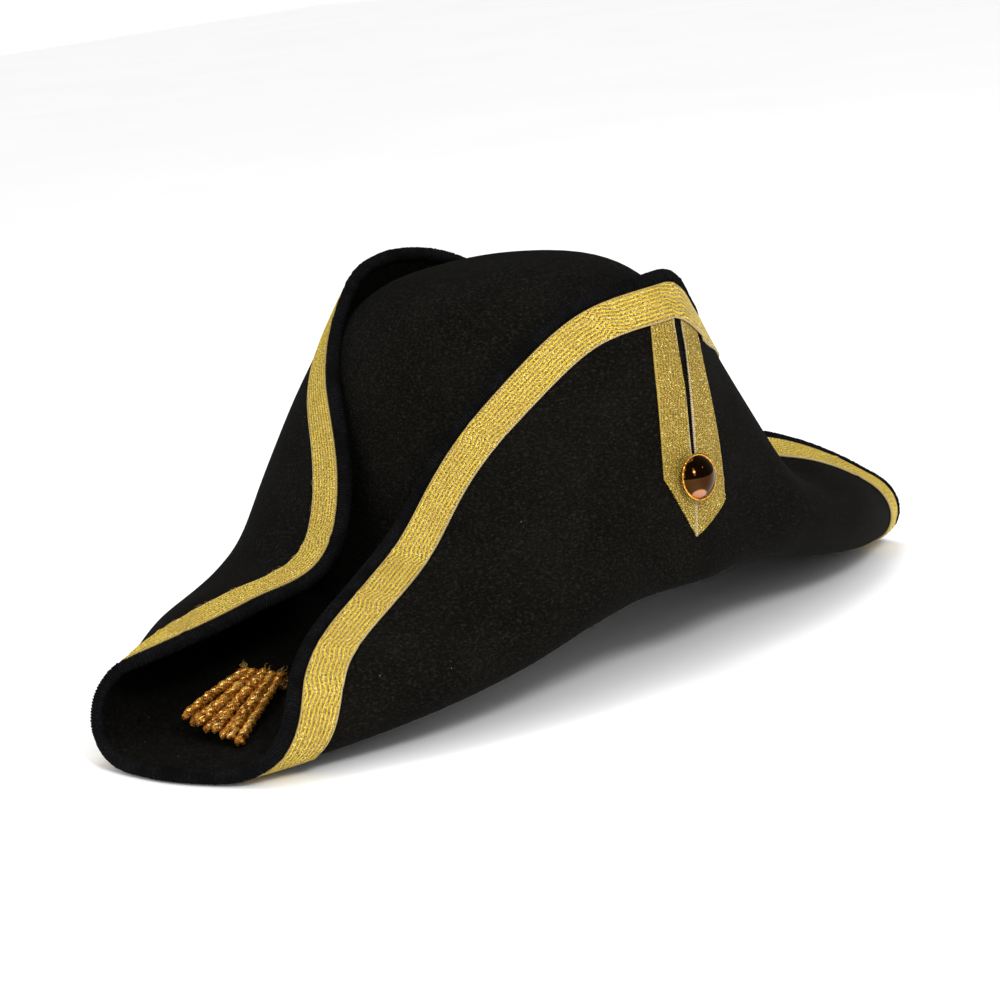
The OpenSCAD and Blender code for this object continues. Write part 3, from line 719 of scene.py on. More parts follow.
def make_binding():
    at, out, run, normal, turn, _ = edge_frames(count=1500)
    angle = np.arange(20) * TURN / 20
    centre = (BINDING_END - BINDING_REACH) / 2
    half_w = (BINDING_END + BINDING_REACH) / 2 - YARN_R * 0.9
    half_t = BINDING_HALF_T - YARN_R * 0.9
    ca, sa = np.cos(angle), np.sin(angle)
    swell = binding_swell(turn)[:, None]
    x = centre + half_w * np.sign(ca) * np.abs(ca) ** 0.8
    y = half_t * np.sign(sa) * np.abs(sa) ** 0.9 * swell
    x = np.broadcast_to(x, y.shape) * (0.4 + 0.6 * swell)
    roll = at[:, None] + out[:, None] * x[..., None] + normal[:, None] * y[..., None]
    faces = grid_faces(len(at), len(angle), wrap_rows=True, wrap_cols=True)
    yarn = yarn_material("binding_yarn")
    finish_piece(make_mesh("binding_roll", roll, faces), yarn, "hat", "binding", "edge_binding")

    rng = np.random.default_rng(7)
    at, out, run, normal, turn, _ = edge_frames(pitch=STITCH_PITCH)
    swell = binding_swell(turn)
    parts = Parts()
    arc = np.radians(np.linspace(-158, 158, 15))
    for i in range(len(at)):
        lean = 0.55 + rng.normal(0, 0.12)
        reach = rng.normal(0, 0.18)
        bulge = 1 + rng.normal(0, 0.03)
        c, s = np.cos(arc), np.sin(arc)
        x = centre + half_w * np.sign(c) * np.abs(c) ** 0.8 - np.where(c < 0, reach * np.abs(c), 0)
        y = half_t * np.sign(s) * np.abs(s) ** 0.9 * bulge * swell[i]
        slide = lean * arc / math.pi * STITCH_PITCH + rng.normal(0, 0.08)
        x = x * (0.4 + 0.6 * swell[i])
        path = at[i] + out[i] * x[:, None] + normal[i] * y[:, None] + run[i] * slide[:, None]
        radius = YARN_R * (1 + rng.normal(0, 0.08))
        tube(parts, path, radius, sides=5, taper=0.6)
    finish_piece(parts.build("binding_stitches"), yarn, "hat", "binding")

    # Where the two ends meet, a few turns stand off and a thread end is left
    parts = Parts()
    near = int(np.argmin(np.abs((turn - BINDING_JOIN + math.pi) % TURN - math.pi)))
    for k, (side, far, curl) in enumerate(((1, 3.4, 0.8), (-1, 2.2, -1.1), (1, 1.6, 1.4))):
        s = np.linspace(0, 1, 14)[:, None]
        base_point = at[near + 2 * k] + out[near] * (BINDING_END - 0.4) + normal[near] * side * 1.2
        path = base_point + out[near] * s * far + run[near] * curl * s * s * 2.2
        path = path + normal[near] * np.sin(s * 4) * 0.5
        tube(parts, path, 0.22 * (1 - 0.4 * s[:, 0]), sides=6)
    finish_piece(parts.build("binding_thread_end"), yarn, "hat", "binding")


# ---- braid ----

RIDGE_PITCH, LOOP_PITCH, PICOT_PITCH = 1.78, 1.34, 0.95
BRAID_ACROSS = 58
# Kinks of the weave, where the braid was eased round the brim's curves: direction, sideways shift and length
KINKS = [(math.radians(a), shift, length) for a, shift, length in (
    (196, 1.9, 5.0), (204, -2.0, 6.5), (212.5, 1.6, 5.5), (222, 2.3, 6.0), (231, -1.7, 5.0), (243, 2.0, 6.5),
    (258.5, 2.6, 6.0), (274, -1.8, 5.5), (291, 2.2, 6.0), (309, 1.7, 6.5), (327, -2.1, 5.0), (344, 1.8, 6.0),
    (12, 2.1, 6.0), (38, -1.9, 5.0), (63, 2.3, 5.5), (97, 1.7, 6.0), (124, -2.2, 6.0), (147, 1.9, 5.0),
    (163, 2.1, 5.5), (176, -1.6, 6.0))]


def ridge_height(across, pitch):
    """Rounded ridges of the weave, from 0 in a valley to 1 on a ridge."""
    phase = across / pitch % 1
    return ease((np.abs(phase - 0.5) - 0.22) / 0.16)


def braid_relief(run, across, pattern, pitch=RIDGE_PITCH):
    """Height of the braid's top over its base: ridges, thicker edges and picots."""
    middle = ease((across - 0.5) / 0.3) * ease((BRAID_W - 0.6 - across) / 0.3)
    picot = 0.55 + 0.45 * np.abs(np.sin(run * math.pi / PICOT_PITCH))
    ribs = 0.15 * pitch * ridge_height(pattern, pitch) * middle
    edge = 0.18 * picot * (1 - middle)
    fall = np.clip(np.minimum(across, BRAID_W - across) / 0.45, 0, 1)
    return (ribs + edge) * np.sqrt(fall) + 0.12 * np.sqrt(fall)


def braid_shell(name, top, bottom, weave, edge, wrap):
    """A closed strip from grids [along, across, 3] of its top and its bottom."""
    rows, cols = top.shape[:2]
    points = np.concatenate([top.reshape(-1, 3), bottom.reshape(-1, 3)])
    count = rows * cols
    upper = grid_faces(rows, cols, wrap_rows=wrap)
    lower = upper[:, ::-1] + count
    i = np.arange(rows if wrap else rows - 1)
    i2 = (i + 1) % rows
    sides = []
    for k, flip in ((0, False), (cols - 1, True)):
        quad = np.stack([i * cols + k, count + i * cols + k, count + i2 * cols + k, i2 * cols + k], -1)
        sides.append(quad[:, ::-1] if flip else quad)
    faces = np.concatenate([upper, lower, *sides]).tolist()
    if not wrap:
        k = np.arange(cols - 1)
        first = np.stack([k, k + 1, count + k + 1, count + k], -1)
        last = np.stack([k + 1, k, count + k, count + k + 1], -1) + np.array([(rows - 1) * cols] * 4)
        faces += first.tolist() + last.tolist()
    uvs = {"weave": np.concatenate([weave.reshape(-1, 2)] * 2),
           "edge": np.concatenate([edge.reshape(-1, 2)] * 2)}
    return make_mesh(name, points, faces, uvs)


def fray(phi, run):
    """Extra width of the inner edge where it has pulled loose, on the back flap's near side."""
    where = np.exp(-(((phi - math.radians(150)) / math.radians(24)) ** 4))
    lumps = np.maximum(np.sin(run / 4.1) * np.sin(run / 9.7 + 1.3) + 0.35 * np.sin(run / 1.7), 0)
    return 1.3 * where * lumps


def loop_tuck(p, across):
    """The rim braid rises over the tops of the cockade loop's legs."""
    over_legs = ease((24 - np.abs(p[..., 0] - LOOP_TOP[0])) / 5) * (p[..., 1] < 0)
    return 1.15 * over_legs * ease((across - 9) / 5)


def make_rim_braid():
    count = 1420
    phi0 = np.arange(EDGE_SAMPLES) * TURN / EDGE_SAMPLES + 1e-4
    middle = brim_point(inset(phi0, np.full(EDGE_SAMPLES, BRAID_OUTER + BRAID_W / 2)))
    length = lengths_along(closed(middle))
    run = np.arange(count) * length[-1] / count
    phi = np.interp(run, length, np.append(phi0, phi0[0] + TURN))
    across = np.linspace(0, BRAID_W, BRAID_ACROSS)
    # The edges get closer rows, so that they stay crisp
    across = BRAID_W * (across / BRAID_W - 0.035 * np.sin(across / BRAID_W * TURN))
    widen = fray(phi, run)[:, None] * ease((across[None] - 11) / 5)
    depth = BRAID_OUTER + across[None] + widen
    coarse = np.linspace(BRAID_OUTER, BRAID_OUTER + BRAID_W + 2.5, 9)
    flat_rows = np.stack([inset(phi, np.full(count, d)) for d in coarse], 1)
    place = (depth - coarse[0]) / (coarse[1] - coarse[0])
    k = np.clip(place.astype(int), 0, len(coarse) - 2)
    part = (place - k)[..., None]
    i = np.arange(count)[:, None]
    flat = flat_rows[i, k] * (1 - part) + flat_rows[i, k + 1] * part
    g = brim_point(flat)
    n = brim_normal(flat)
    g = g + n * waviness(g)[..., None]
    pattern = np.broadcast_to(across[None], depth.shape).copy()
    tuck = np.zeros_like(pattern)
    for turn, shift, size in KINKS:
        centre = np.interp(turn, np.append(phi0, TURN), length)
        slanted = run[:, None] - centre - 0.35 * (across[None] - BRAID_W / 2)
        pattern += shift * np.clip(1 - np.abs(slanted) / size, 0, 1)
        tuck += 0.45 * np.exp(-((slanted - size * 0.5) / 1.3) ** 2)
    wobble = 0.25 * np.sin(run / 23)[:, None] + 0.15 * np.sin(run / 7.3 + 1)[:, None]
    pattern += wobble
    relief = braid_relief(run[:, None], np.broadcast_to(across[None], depth.shape), pattern)
    lift = FELT_T / 2 + LAYER_GAP + loop_tuck(flat, across[None])
    top = g - n * (lift + BRAID_T * 0.72 + relief + tuck)[..., None]
    bottom = g - n * (lift + tuck * 0.9)[..., None]
    run2 = np.broadcast_to(run[:, None], depth.shape)
    weave = np.stack([run2, pattern], -1)
    edge = np.stack([run2, np.broadcast_to(across[None], depth.shape)], -1)
    piece = braid_shell("rim_braid_woven", top, bottom, weave, edge, wrap=True)
    finish_piece(piece, GOLD, "hat", "gold_braid", "rim_braid")
    return phi, run, top, n


def make_fray_threads(phi, run, top, n):
    """Loose gilt filaments along the frayed inner edge."""
    rng = np.random.default_rng(19)
    parts = Parts()
    chosen = [i for i in range(len(phi)) if fray(phi[i], run[i]) > 0.05]
    for i in rng.choice(chosen, 46, replace=False):
        inward = unit(top[i, -1] - top[i, -4])
        sideways = unit(top[(i + 3) % len(top), -1] - top[i, -1])
        s = np.linspace(0, 1, 9)[:, None]
        size = rng.uniform(0.8, 3.4)
        bend = rng.normal(0, 1.2)
        rise = np.sin(s * 2.4) * rng.uniform(0.1, 0.9)
        path = top[i, -3] + inward * s * size + sideways * (bend * s * s) - n[i, -1] * rise
        tube(parts, path, 0.09 * (1 - 0.5 * s[:, 0]), sides=4)
    finish_piece(parts.build("braid_fray"), wisp_material("fray_filament"), "hat", "gold_braid")


# ---- cockade loop ----

LOOP_DOWN = np.array([-math.sin(math.radians(LOOP_SLANT)), math.cos(math.radians(LOOP_SLANT))])
LOOP_ACROSS = np.array([math.cos(math.radians(LOOP_SLANT)), math.sin(math.radians(LOOP_SLANT))])
LOOP_HALF = BRAID_W + LOOP_SLIT / 2


def loop_flat(down, across):
    return LOOP_TOP + LOOP_DOWN * np.asarray(down)[..., None] + LOOP_ACROSS * np.asarray(across)[..., None]


def loop_start(across):
    x = LOOP_TOP[0] + LOOP_ACROSS[0] * across
    braid_edge = edge_y(np.array(True), np.array(x)) - BRAID_OUTER - BRAID_W
    return float((-LOOP_TOP[1] - LOOP_ACROSS[1] * across - braid_edge) / LOOP_DOWN[1])


def make_loop():
    rows, cols = 260, 54
    for side, name in ((-1, "left"), (1, "right")):
        corner = LOOP_LEN - LOOP_POINT + side * LOOP_SKEW

        def outer_edge(down, side=side):
            """The legs spread a little towards their corners, the right one most."""
            if side < 0:
                return LOOP_HALF - 2.2 + 1.4 * ease((down - 30) / 40)
            return LOOP_HALF - 0.6 + 3.6 * ease((down - 15) / 50)

        def inner_edge(down, side=side):
            opened = 2.3 * ease((34 - down) / 34) if side < 0 else 0.0
            return (LOOP_SLIT / 2 + opened) * ease((BUTTON_DOWN - down) / 12)

        outer_start = loop_start(side * LOOP_HALF) - 5.0
        inner_start = loop_start(side * LOOP_SLIT / 2) - 5.0
        corner_row = int(rows * 0.76)
        to_corner = np.clip(np.arange(rows) / corner_row, 0, 1)
        to_tip = np.clip((np.arange(rows) - corner_row) / (rows - 1 - corner_row), 0, 1)
        outer_down = outer_start + (corner - outer_start) * to_corner + (LOOP_LEN - corner) * to_tip
        outer_across = outer_edge(outer_down) * (1 - to_tip * 0.998)
        inner_down = inner_start + (BUTTON_DOWN - inner_start) * to_corner + (LOOP_LEN - BUTTON_DOWN) * to_tip
        inner_across = np.maximum(inner_edge(inner_down) * (1 + 0.25 * np.sin(inner_down / 17)), 0.02)
        v = np.linspace(0, 1, cols)
        v = v - 0.035 * np.sin(v * TURN)
        down = outer_down[:, None] * (1 - v) + inner_down[:, None] * v
        across = outer_across[:, None] * (1 - v) + inner_across[:, None] * v
        across = across + 0.3 * np.sin(down / 11 + side) * (1 - to_tip[:, None])
        flat = loop_flat(down, side * across)
        g = brim_point(flat)
        n = brim_normal(flat)
        g = g + n * waviness(g)[..., None]
        leg = outer_edge(down) - across
        edge_len = math.hypot(LOOP_HALF, LOOP_LEN - corner)
        point = ((LOOP_LEN - down) * LOOP_HALF - across * (LOOP_LEN - corner)) / edge_len
        shifted = point - 5.0
        pattern = np.minimum(leg, shifted)
        along_point = ((LOOP_LEN - down) * (LOOP_LEN - corner) + across * LOOP_HALF) / edge_len
        run = np.where(leg < shifted, down, BUTTON_DOWN + 20 - along_point)
        for centre, shift, size in ((8, 1.6, 4.0), (30, -0.9, 5.0), (52, 1.1, 5.0)):
            nearness = np.clip(1 - np.abs(down - centre - 0.2 * across) / size, 0, 1)
            pattern = pattern + shift * nearness * (leg < shifted)
        near_edge = np.minimum(np.minimum(leg, point), 9)
        from_inner = across - inner_edge(down)
        edge_v = np.where(leg < from_inner, near_edge, np.maximum(BRAID_W - from_inner, 7))
        edge_v = np.where(point < leg, np.maximum(edge_v, 1.0), edge_v)
        relief = braid_relief(down, np.clip(edge_v, 0, BRAID_W), pattern, LOOP_PITCH)
        low = LOOP_LIFT - LAYER_GAP
        lower_end = ease((outer_start + 9 - down) / 6)
        lift = FELT_T / 2 + LAYER_GAP + low * (1 - lower_end)
        crease = 0.25 * np.exp(-((leg - shifted) / 0.8) ** 2)
        ripple = 0.25 * np.sin(down / 7.5 + side * 1.7) * np.sin(across / 6)
        raised = relief + crease + np.maximum(ripple, -0.12)
        top = g - n * (lift + BRAID_T * 0.7 + raised * (1 - 0.5 * lower_end))[..., None]
        bottom = g - n * np.broadcast_to(lift, down.shape)[..., None]
        weave = np.stack([run, pattern], -1)
        edge = np.stack([run, np.clip(edge_v, 0, BRAID_W)], -1)
        if side < 0:
            top, bottom, weave, edge = top[::-1], bottom[::-1], weave[::-1], edge[::-1]
        piece = braid_shell(f"cockade_leg_{name}", top, bottom, weave, edge, wrap=False)
        finish_piece(piece, GOLD_WORN, "hat", "gold_braid", *(["cockade_loop"] if side < 0 else []))


# ---- button ----

BUTTON_FLAT = loop_flat(BUTTON_DOWN, -BUTTON_SHIFT)
BUTTON_AXIS = -brim_normal(BUTTON_FLAT)
BUTTON_SIDE = unit(np.cross(BUTTON_AXIS, [0, 0, 1]))
BUTTON_UP = np.cross(BUTTON_SIDE, BUTTON_AXIS)
BUTTON_POS = brim_point(BUTTON_FLAT) + BUTTON_AXIS * (FELT_T / 2 + LOOP_LIFT + BRAID_T)


def on_button(p):
    p = np.asarray(p, float)
    return BUTTON_POS + p[..., :1] * BUTTON_SIDE + p[..., 1:2] * BUTTON_UP + p[..., 2:3] * BUTTON_AXIS


FLOOR_REFLECTION_SPOT = on_button([3.4, -7.6, BUTTON_SEAT + 2.8])       # the middle of the clear copper patch, a painted reflection of the pale floor


def lathe(profile, sides=128, ripple=None):
    """Points [around, along, 3] of a profile of (radius, height) turned about the button's axis."""
    angle = np.arange(sides) * TURN / sides
    r, z = np.asarray(profile, float).T
    if ripple is not None:
        z = z[None] + ripple(angle)[:, None] * np.clip((r - BUTTON_R) / 0.8, 0, 1)[None]
    else:
        z = np.broadcast_to(z[None], (sides, len(r)))
    r = np.broadcast_to(r[None], z.shape)
    return on_button(np.stack([r * np.cos(angle)[:, None], r * np.sin(angle)[:, None], z], -1))


def make_button():
    base = BUTTON_SEAT + BACK_T + 0.05
    ball_r = (BUTTON_R**2 + BUTTON_RISE**2) / (2 * BUTTON_RISE)
    dome = [(0.02, base + BUTTON_RISE)]
    for s in np.linspace(0.03, 1, 40):
        r = (BUTTON_R - 0.35) * s
        dome.append((r, base + BUTTON_RISE - ball_r + math.sqrt(ball_r**2 - r**2)))
    low = dome[-1][1]
    dome += [(BUTTON_R - 0.28, low - 0.25), (BUTTON_R - 0.3, base + 0.32)]
    dome += [(BUTTON_R - 0.7, base + 0.05), (0.02, base + 0.02)]
    points = lathe(dome)
    piece = make_mesh("button_dome", points, grid_faces(*points.shape[:2], wrap_rows=True))
    finish_piece(piece, button_material(), "button", "button_metal", "button_cap")

    ring = []
    for a in np.linspace(0, TURN, 21)[:-1]:
        ring.append((BUTTON_R + 0.12 + 0.56 * math.cos(a), base + 0.42 + 0.36 * math.sin(a)))
    points = lathe(ring, sides=192, ripple=lambda t: 0.10 * np.sin(t * 31) + 0.06 * np.sin(t * 13 + 1))
    faces = grid_faces(*points.shape[:2], wrap_rows=True, wrap_cols=True)
    piece = make_mesh("button_flange", points, faces)
    finish_piece(piece, flange_material(), "button", "button_metal")


# ---- tassels ----

TASSEL_OUT = unit(TASSEL_AIM - TASSEL_POS)
LEVEL_SIDE = unit(np.cross([0, 0, 1], TASSEL_OUT))
LEVEL_UP = np.cross(TASSEL_OUT, LEVEL_SIDE)
TASSEL_SIDE = LEVEL_SIDE * math.cos(TASSEL_ROLL) - LEVEL_UP * math.sin(TASSEL_ROLL)
TASSEL_UP = np.cross(TASSEL_OUT, TASSEL_SIDE)
PITCH_HEAD = (TASSEL_HEAD_W - CORD_D) / (UPPER_CORDS - 1)
PITCH_TIP = (TASSEL_TIP_W - CORD_D) / (UPPER_CORDS - 1)
PLY_R, PLY_OFF, LAY = 1.25, 1.15, 11.5  # a ply's radius, its distance from the cord's middle, one full twist


def in_tassel(p, mirror):
    p = np.asarray(p, float)
    made = TASSEL_POS + p[..., :1] * TASSEL_OUT + p[..., 1:2] * TASSEL_SIDE + p[..., 2:3] * TASSEL_UP
    return made * np.array([mirror, 1, 1])


def spread(k):
    return k - (UPPER_CORDS + 1) / 2


def upper_path(k, s):
    pitch = mix(PITCH_HEAD, PITCH_TIP, s)
    rise = np.sqrt(np.maximum((CORD_D + 0.1) ** 2 - pitch**2, 0))
    length = CORD_LEN + CORD_SKEW * spread(k) - 0.04 * spread(k) ** 2
    return np.stack([CORD_START + length * s, spread(k) * pitch, (-0.5 if k % 2 == 0 else 0.5) * rise], -1)


def lower_path(k, s):
    over = spread(2 * k - 1)
    head_y = (k - 2) * (CORD_D + 0.15) - 3.4
    head_z = -1.5 * CORD_D - 0.15
    return np.stack([CORD_START + (CORD_LEN + CORD_SKEW * over - 8) * s, mix(head_y, over * PITCH_TIP, s),
                     mix(head_z, -4.2, s)], -1)


def twisted_cord(plies, wires, path, start_turn, rng):
    """Two plies twisted about each other along a path, with bright wires laid in the grooves between them,
    their bright colour partly a painted highlight.
    """
    _, a, b = frames_along(path)
    length = lengths_along(path)
    close = np.clip((length[-1] - length) / 2.6, 0.4, 1)
    turn = start_turn + length / LAY * TURN + 0.35 * np.sin(length / 5 + start_turn)

    def strand(angle, off):
        return path + (np.cos(turn + angle) * off)[:, None] * a + (np.sin(turn + angle) * off)[:, None] * b

    for ply in (0, math.pi):
        swell = 1 + 0.06 * np.sin(length * 1.9 + start_turn * 3 + ply) + rng.normal(0, 0.01, len(length))
        tube(plies, strand(ply, PLY_OFF * close), PLY_R * swell * np.sqrt(close), sides=12, taper=0.5)
        for gap, off in ((1.3, 1.55), (1.84, 1.55)):
            loose = 1 + 0.07 * np.sin(length * 1.1 + gap * 9 + start_turn)
            tube(wires, strand(ply + gap, off * loose * close), 0.27 * np.sqrt(close), sides=6, taper=0.5)


def make_tassel(side):
    mirror = SIDES[side]
    body = f"{side}_tassel"
    rng = np.random.default_rng(31 + mirror)
    s = np.linspace(0, 1, 104)
    wires = Parts()
    for k in range(1, UPPER_CORDS + 1):
        parts = Parts()
        path = upper_path(k, s)
        path[:, 2] *= 0.65 + 0.35 * s
        # The cord turns down into the head
        height = path[0, 2]
        back = np.linspace(1, 0, 16)[:-1]
        over = np.stack([CORD_START - (0.7 + 0.35 * (k % 3)) * np.sin(back * 1.5),
                         np.full_like(back, path[0, 1]),
                         height - 2.6 * (1 - np.cos(back * 1.5))], -1)
        path = np.concatenate([over, path])
        sway = np.sin(np.linspace(0, 5, len(path)) + k * 1.7)
        path[:, 1] += 0.25 * sway
        path[:, 2] += 0.1 * np.abs(sway)
        twisted_cord(parts, wires, in_tassel(path, mirror), k * 1.9, rng)
        finish_piece(parts.build(f"{side}_bullion_{k}"), BULLION, body, "bullion", f"{side}_upper_cord_{k}")
    for k in range(1, LOWER_CORDS + 1):
        parts = Parts()
        twisted_cord(parts, wires, in_tassel(lower_path(k, s), mirror), k * 2.3 + 0.8, rng)
        finish_piece(parts.build(f"{side}_under_bullion_{k}"), BULLION, body, "bullion",
                     f"{side}_lower_cord_{k}")
    finish_piece(wires.build(f"{side}_bullion_wires"), HIGHLIGHT_WIRE, body, "bullion")

    # The head: gilt cord wound in turns round a core
    parts = Parts()
    half_l, half_h = HEAD_LEN / 2 - 0.7, (HEAD_HIGH - HEAD_LOW) / 2 - 1.0
    centre = np.array([-HEAD_LEN / 2 + 0.1, 0, (HEAD_HIGH + HEAD_LOW) / 2 - 1.6])
    turns = 15
    t = np.linspace(0, turns * TURN, turns * 26)
    c, q = np.cos(t), np.sin(t)
    across = np.linspace(-TASSEL_HEAD_W / 2 + 0.9, TASSEL_HEAD_W / 2 - 0.9, len(t))
    path = np.stack([centre[0] + half_l * np.sign(c) * np.abs(c) ** 0.7, across,
                     centre[2] + (half_h - 0.5) * np.sign(q) * np.abs(q) ** 0.7], -1)
    tube(parts, in_tassel(path, mirror), 0.72, sides=8)
    finish_piece(parts.build(f"{side}_tassel_binding"), BULLION, body, "bullion", f"{side}_tassel_head")

    parts = Parts()
    for corner, lean, count in ((-1, 0.7, 14), (0.25, 0.3, 5), (1, 0.5, 6)):
        for _ in range(count):
            u = np.linspace(0, 1, 10)[:, None]
            start = np.array([-2.0 + rng.normal(0, 0.5),
                              corner * (TASSEL_HEAD_W / 2 - 1.6) + rng.normal(0, 0.7),
                              2.0 + rng.normal(0, 0.4)])
            aim = np.array([-rng.uniform(0.8, 3.0), corner * lean * rng.uniform(0.2, 2.0),
                            rng.uniform(-0.4, 1.8)])
            bend = np.array([rng.normal(0, 0.7), rng.normal(0, 0.9), rng.normal(0, 0.5)])
            path = start + aim * u + bend * np.sin(u * math.pi)
            tube(parts, in_tassel(path, mirror), 0.11 * (1 - 0.5 * u[:, 0]), sides=4)
    finish_piece(parts.build(f"{side}_tassel_wisps"), wisp_material(f"{side}_wisp"), body, "bullion")

    # The stitch that holds the head down
    parts = Parts()
    half = TASSEL_HEAD_W / 2 + 1.5
    line = [[HINGE_BACK, -half, HINGE_LOW - STITCH_LEGS[-1]], [HINGE_BACK, -half, HINGE_LOW - 0.5],
            [HINGE_BACK, -half + 0.5, HINGE_LOW], [HINGE_BACK, half - 0.5, HINGE_LOW],
            [HINGE_BACK, half, HINGE_LOW - 0.5], [HINGE_BACK, half, HINGE_LOW - STITCH_LEGS[1]]]
    dense = []
    for a, b in zip(line[:-1], line[1:]):
        dense += [mix(np.array(a), np.array(b), x) for x in np.linspace(0, 1, 9)[:-1]]
    dense.append(np.array(line[-1]))
    tube(parts, in_tassel(np.array(dense), mirror), STITCH_R, sides=8)
    finish_piece(parts.build(f"{side}_tassel_stitch"), THREAD, "hat", "thread", f"{side}_tassel_thread")


# ---- sweatband ----


def make_sweatband():
    count, rows = 300, 26
    phi = np.arange(count) * TURN / count
    e = np.radians(0.25 + 7.75 * np.linspace(1, 0, 300) ** 2)
    line = crown_point(phi[:, None], e[None, :])
    picked = []
    for one in line:
        t = lengths_along(one)
        picked.append(read_at(np.linspace(0, t[-1], rows), t, one))
    g = np.array(picked)
    n = grid_normals(g)
    s = np.linspace(0, 1, rows)
    # A rolled lower edge, and the free upper edge lying slightly off the felt
    roll = 0.35 * np.exp(-((s - 0.95) / 0.04) ** 2)
    ease_off = 0.3 * np.exp(-(s / 0.12) ** 2) * (1 + 0.4 * np.sin(phi * 9))[:, None]
    near = FELT_T / 2 + 0.3
    outer = g - n * near
    inner = g - n * (near + 1.0 + roll[None] + ease_off)[..., None]
    parts = Parts()
    points = np.concatenate([outer, inner[:, ::-1]], axis=1)
    parts.add(points, grid_faces(count, 2 * rows, wrap_rows=True, wrap_cols=True)[:, ::-1])
    finish_piece(parts.build("sweatband_leather"), leather_material(), "hat", "leather", "sweatband")
    parts = Parts()
    row = rows - 4
    for i in range(0, count, 3):
        a = inner[i, row] - n[i, row] * 0.05
        b = inner[(i + 2) % count, row] - n[i, row] * 0.05
        u = np.linspace(0, 1, 7)[:, None]
        tube(parts, mix(a, b, u) + n[i, row] * 0.28 * (1 - np.sin(u * math.pi)), 0.22, sides=6, taper=0.4)
    finish_piece(parts.build("sweatband_stitches"), THREAD, "hat", "thread")


# ---- small hidden pieces keep their CAD shape ----


def dress_cad_nodes():
    for node, material in (("edge_wire", wire_material()), ("button_back", brass_material("button_brass")),
                           ("button_shank", brass_material("shank_brass")), ("button_thread", THREAD_PLAIN)):
        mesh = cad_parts[node].data
        mesh.materials.clear()
        mesh.materials.append(material)


# ---- floor, light and camera ----


def make_stage():
    lowest = cad_box[0].z
    size = 6.0
    s = np.array([[-size, -size], [size, -size], [size, size], [-size, size]]) / MM
    points = np.concatenate([s, np.full((4, 1), lowest / MM - 0.4)], axis=1)
    floor = make_mesh("floor", points, [[0, 1, 2, 3]], smooth=False)
    m = Shader("floor_paper", Roughness=0.9, Specular_IOR_Level=0.05)
    tone = m.noise(m.place(), 3, 2)
    m.set("Base Color", m.ramp(tone, (0.3, (0.96, 0.96, 0.96)), (0.7, (0.98, 0.98, 0.98))))
    floor.data.materials.append(m.material)

    # A white room, dimmer in reflections so that polished metal keeps its depth
    world = bpy.data.worlds.new("studio")
    world.use_nodes = True
    nodes, links = world.node_tree.nodes, world.node_tree.links
    path = nodes.new("ShaderNodeLightPath")
    strength = nodes.new("ShaderNodeMix")
    strength.inputs["A"].default_value, strength.inputs["B"].default_value = 1.0, 0.15
    links.new(path.outputs["Is Glossy Ray"], strength.inputs["Factor"])
    seen = nodes.new("ShaderNodeMix")
    seen.inputs["B"].default_value = 1.0
    links.new(path.outputs["Is Camera Ray"], seen.inputs["Factor"])
    links.new(strength.outputs["Result"], seen.inputs["A"])
    background = nodes["Background"]
    background.inputs["Color"].default_value = (1, 1, 1, 1)
    links.new(seen.outputs["Result"], background.inputs["Strength"])
    bpy.context.scene.world = world
    bpy.context.scene.view_settings.view_transform = "Standard"

    target = Vector((0, 0, 0.05))
    lights = (("key", (-0.78, -1.4, 0.98), (0.34, 0.34), 13.0),
              ("strip", (-0.84, -1.5, 1.06), (0.3, 1.3), 5.0),
              ("spark", (0.72, -1.45, 1.15), (0.1, 0.1), 0.7), ("top", (0.2, 0.2, 1.9), (1.1, 1.1), 8.5),
              ("side", (-1.9, -0.05, 0.55), (0.7, 0.7), 4.0))
    for name, place, size, power in lights:
        data = bpy.data.lights.new(name, "AREA")
        data.shape = "ELLIPSE"
        data.size, data.size_y, data.energy = *size, power
        lamp = bpy.data.objects.new(name, data)
        lamp.location = place
        lamp.rotation_mode = "QUATERNION"
        lamp.rotation_quaternion = (target - Vector(place)).to_track_quat("-Z", "Y")
        bpy.context.scene.collection.objects.link(lamp)


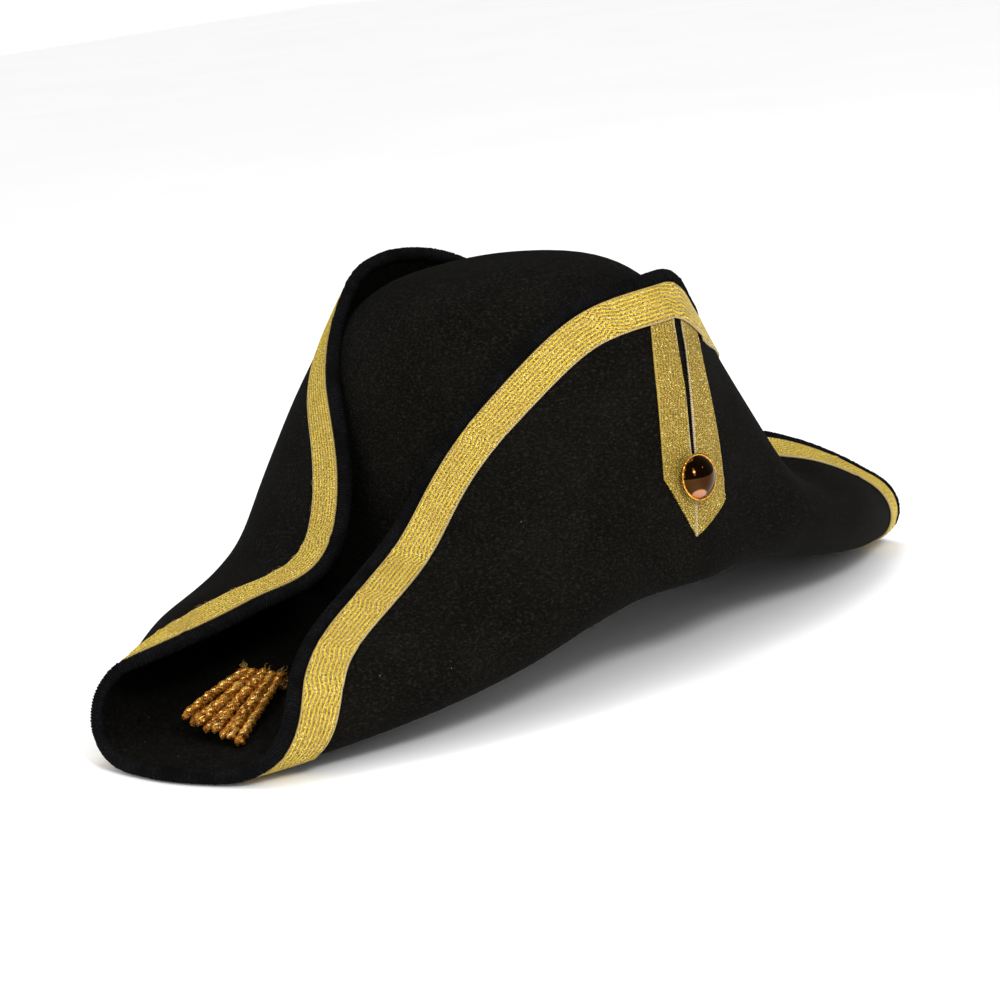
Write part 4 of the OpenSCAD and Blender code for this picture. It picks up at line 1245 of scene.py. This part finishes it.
def make_camera():
    azimuth, elevation, roll = (math.radians(a) for a in (-47.43, 10.6, -6.86))
    distance, lens = 1.545, 122.5
    target = Vector((-0.0097, 0, 0.0358))
    level = math.cos(elevation)
    back = Vector((math.sin(azimuth) * level, -math.cos(azimuth) * level, math.sin(elevation)))
    right = Vector((math.cos(azimuth), math.sin(azimuth), 0))
    up = back.cross(right)
    turned_right = right * math.cos(roll) + up * math.sin(roll)
    turned_up = up * math.cos(roll) - right * math.sin(roll)
    data = bpy.data.cameras.new("camera")
    data.lens, data.sensor_width = lens, 36.0
    data.clip_start, data.clip_end = 0.01, 50
    camera = bpy.data.objects.new("camera", data)
    camera.matrix_world = Matrix((
        (turned_right.x, turned_up.x, back.x, target.x + back.x * distance),
        (turned_right.y, turned_up.y, back.y, target.y + back.y * distance),
        (turned_right.z, turned_up.z, back.z, target.z + back.z * distance),
        (0, 0, 0, 1)))
    bpy.context.scene.collection.objects.link(camera)
    bpy.context.scene.camera = camera


GOLD = braid_material(
    "gold_braid_woven", RIDGE_PITCH,
    ((0.40, 0.25, 0.006), (0.82, 0.565, 0.016), (1.0, 0.85, 0.11)),
    ((0.05, 0.028, 0.005), (0.33, 0.195, 0.038), (0.56, 0.37, 0.095), (0.98, 0.81, 0.32)),
    1.0, ((0.55, 0.41, 0.12), (0.60, 0.47, 0.22)))
GOLD_WORN = braid_material(
    "gold_braid_worn", LOOP_PITCH,
    ((0.20, 0.12, 0.004), (0.50, 0.33, 0.012), (0.90, 0.69, 0.07)),
    ((0.03, 0.017, 0.003), (0.21, 0.125, 0.020), (0.40, 0.26, 0.048), (0.88, 0.70, 0.22)),
    0.8, ((0.50, 0.35, 0.06), (0.60, 0.49, 0.31)))
BULLION = bullion_material()
HIGHLIGHT_WIRE = highlight_wire_material()
THREAD = thread_material()
THREAD_PLAIN = yarn_material("button_thread_yarn")

make_camera()
make_stage()
make_felt()
make_binding()
make_fray_threads(*make_rim_braid())
make_loop()
make_button()
for tassel_side in SIDES:
    make_tassel(tassel_side)
make_sweatband()
dress_cad_nodes()
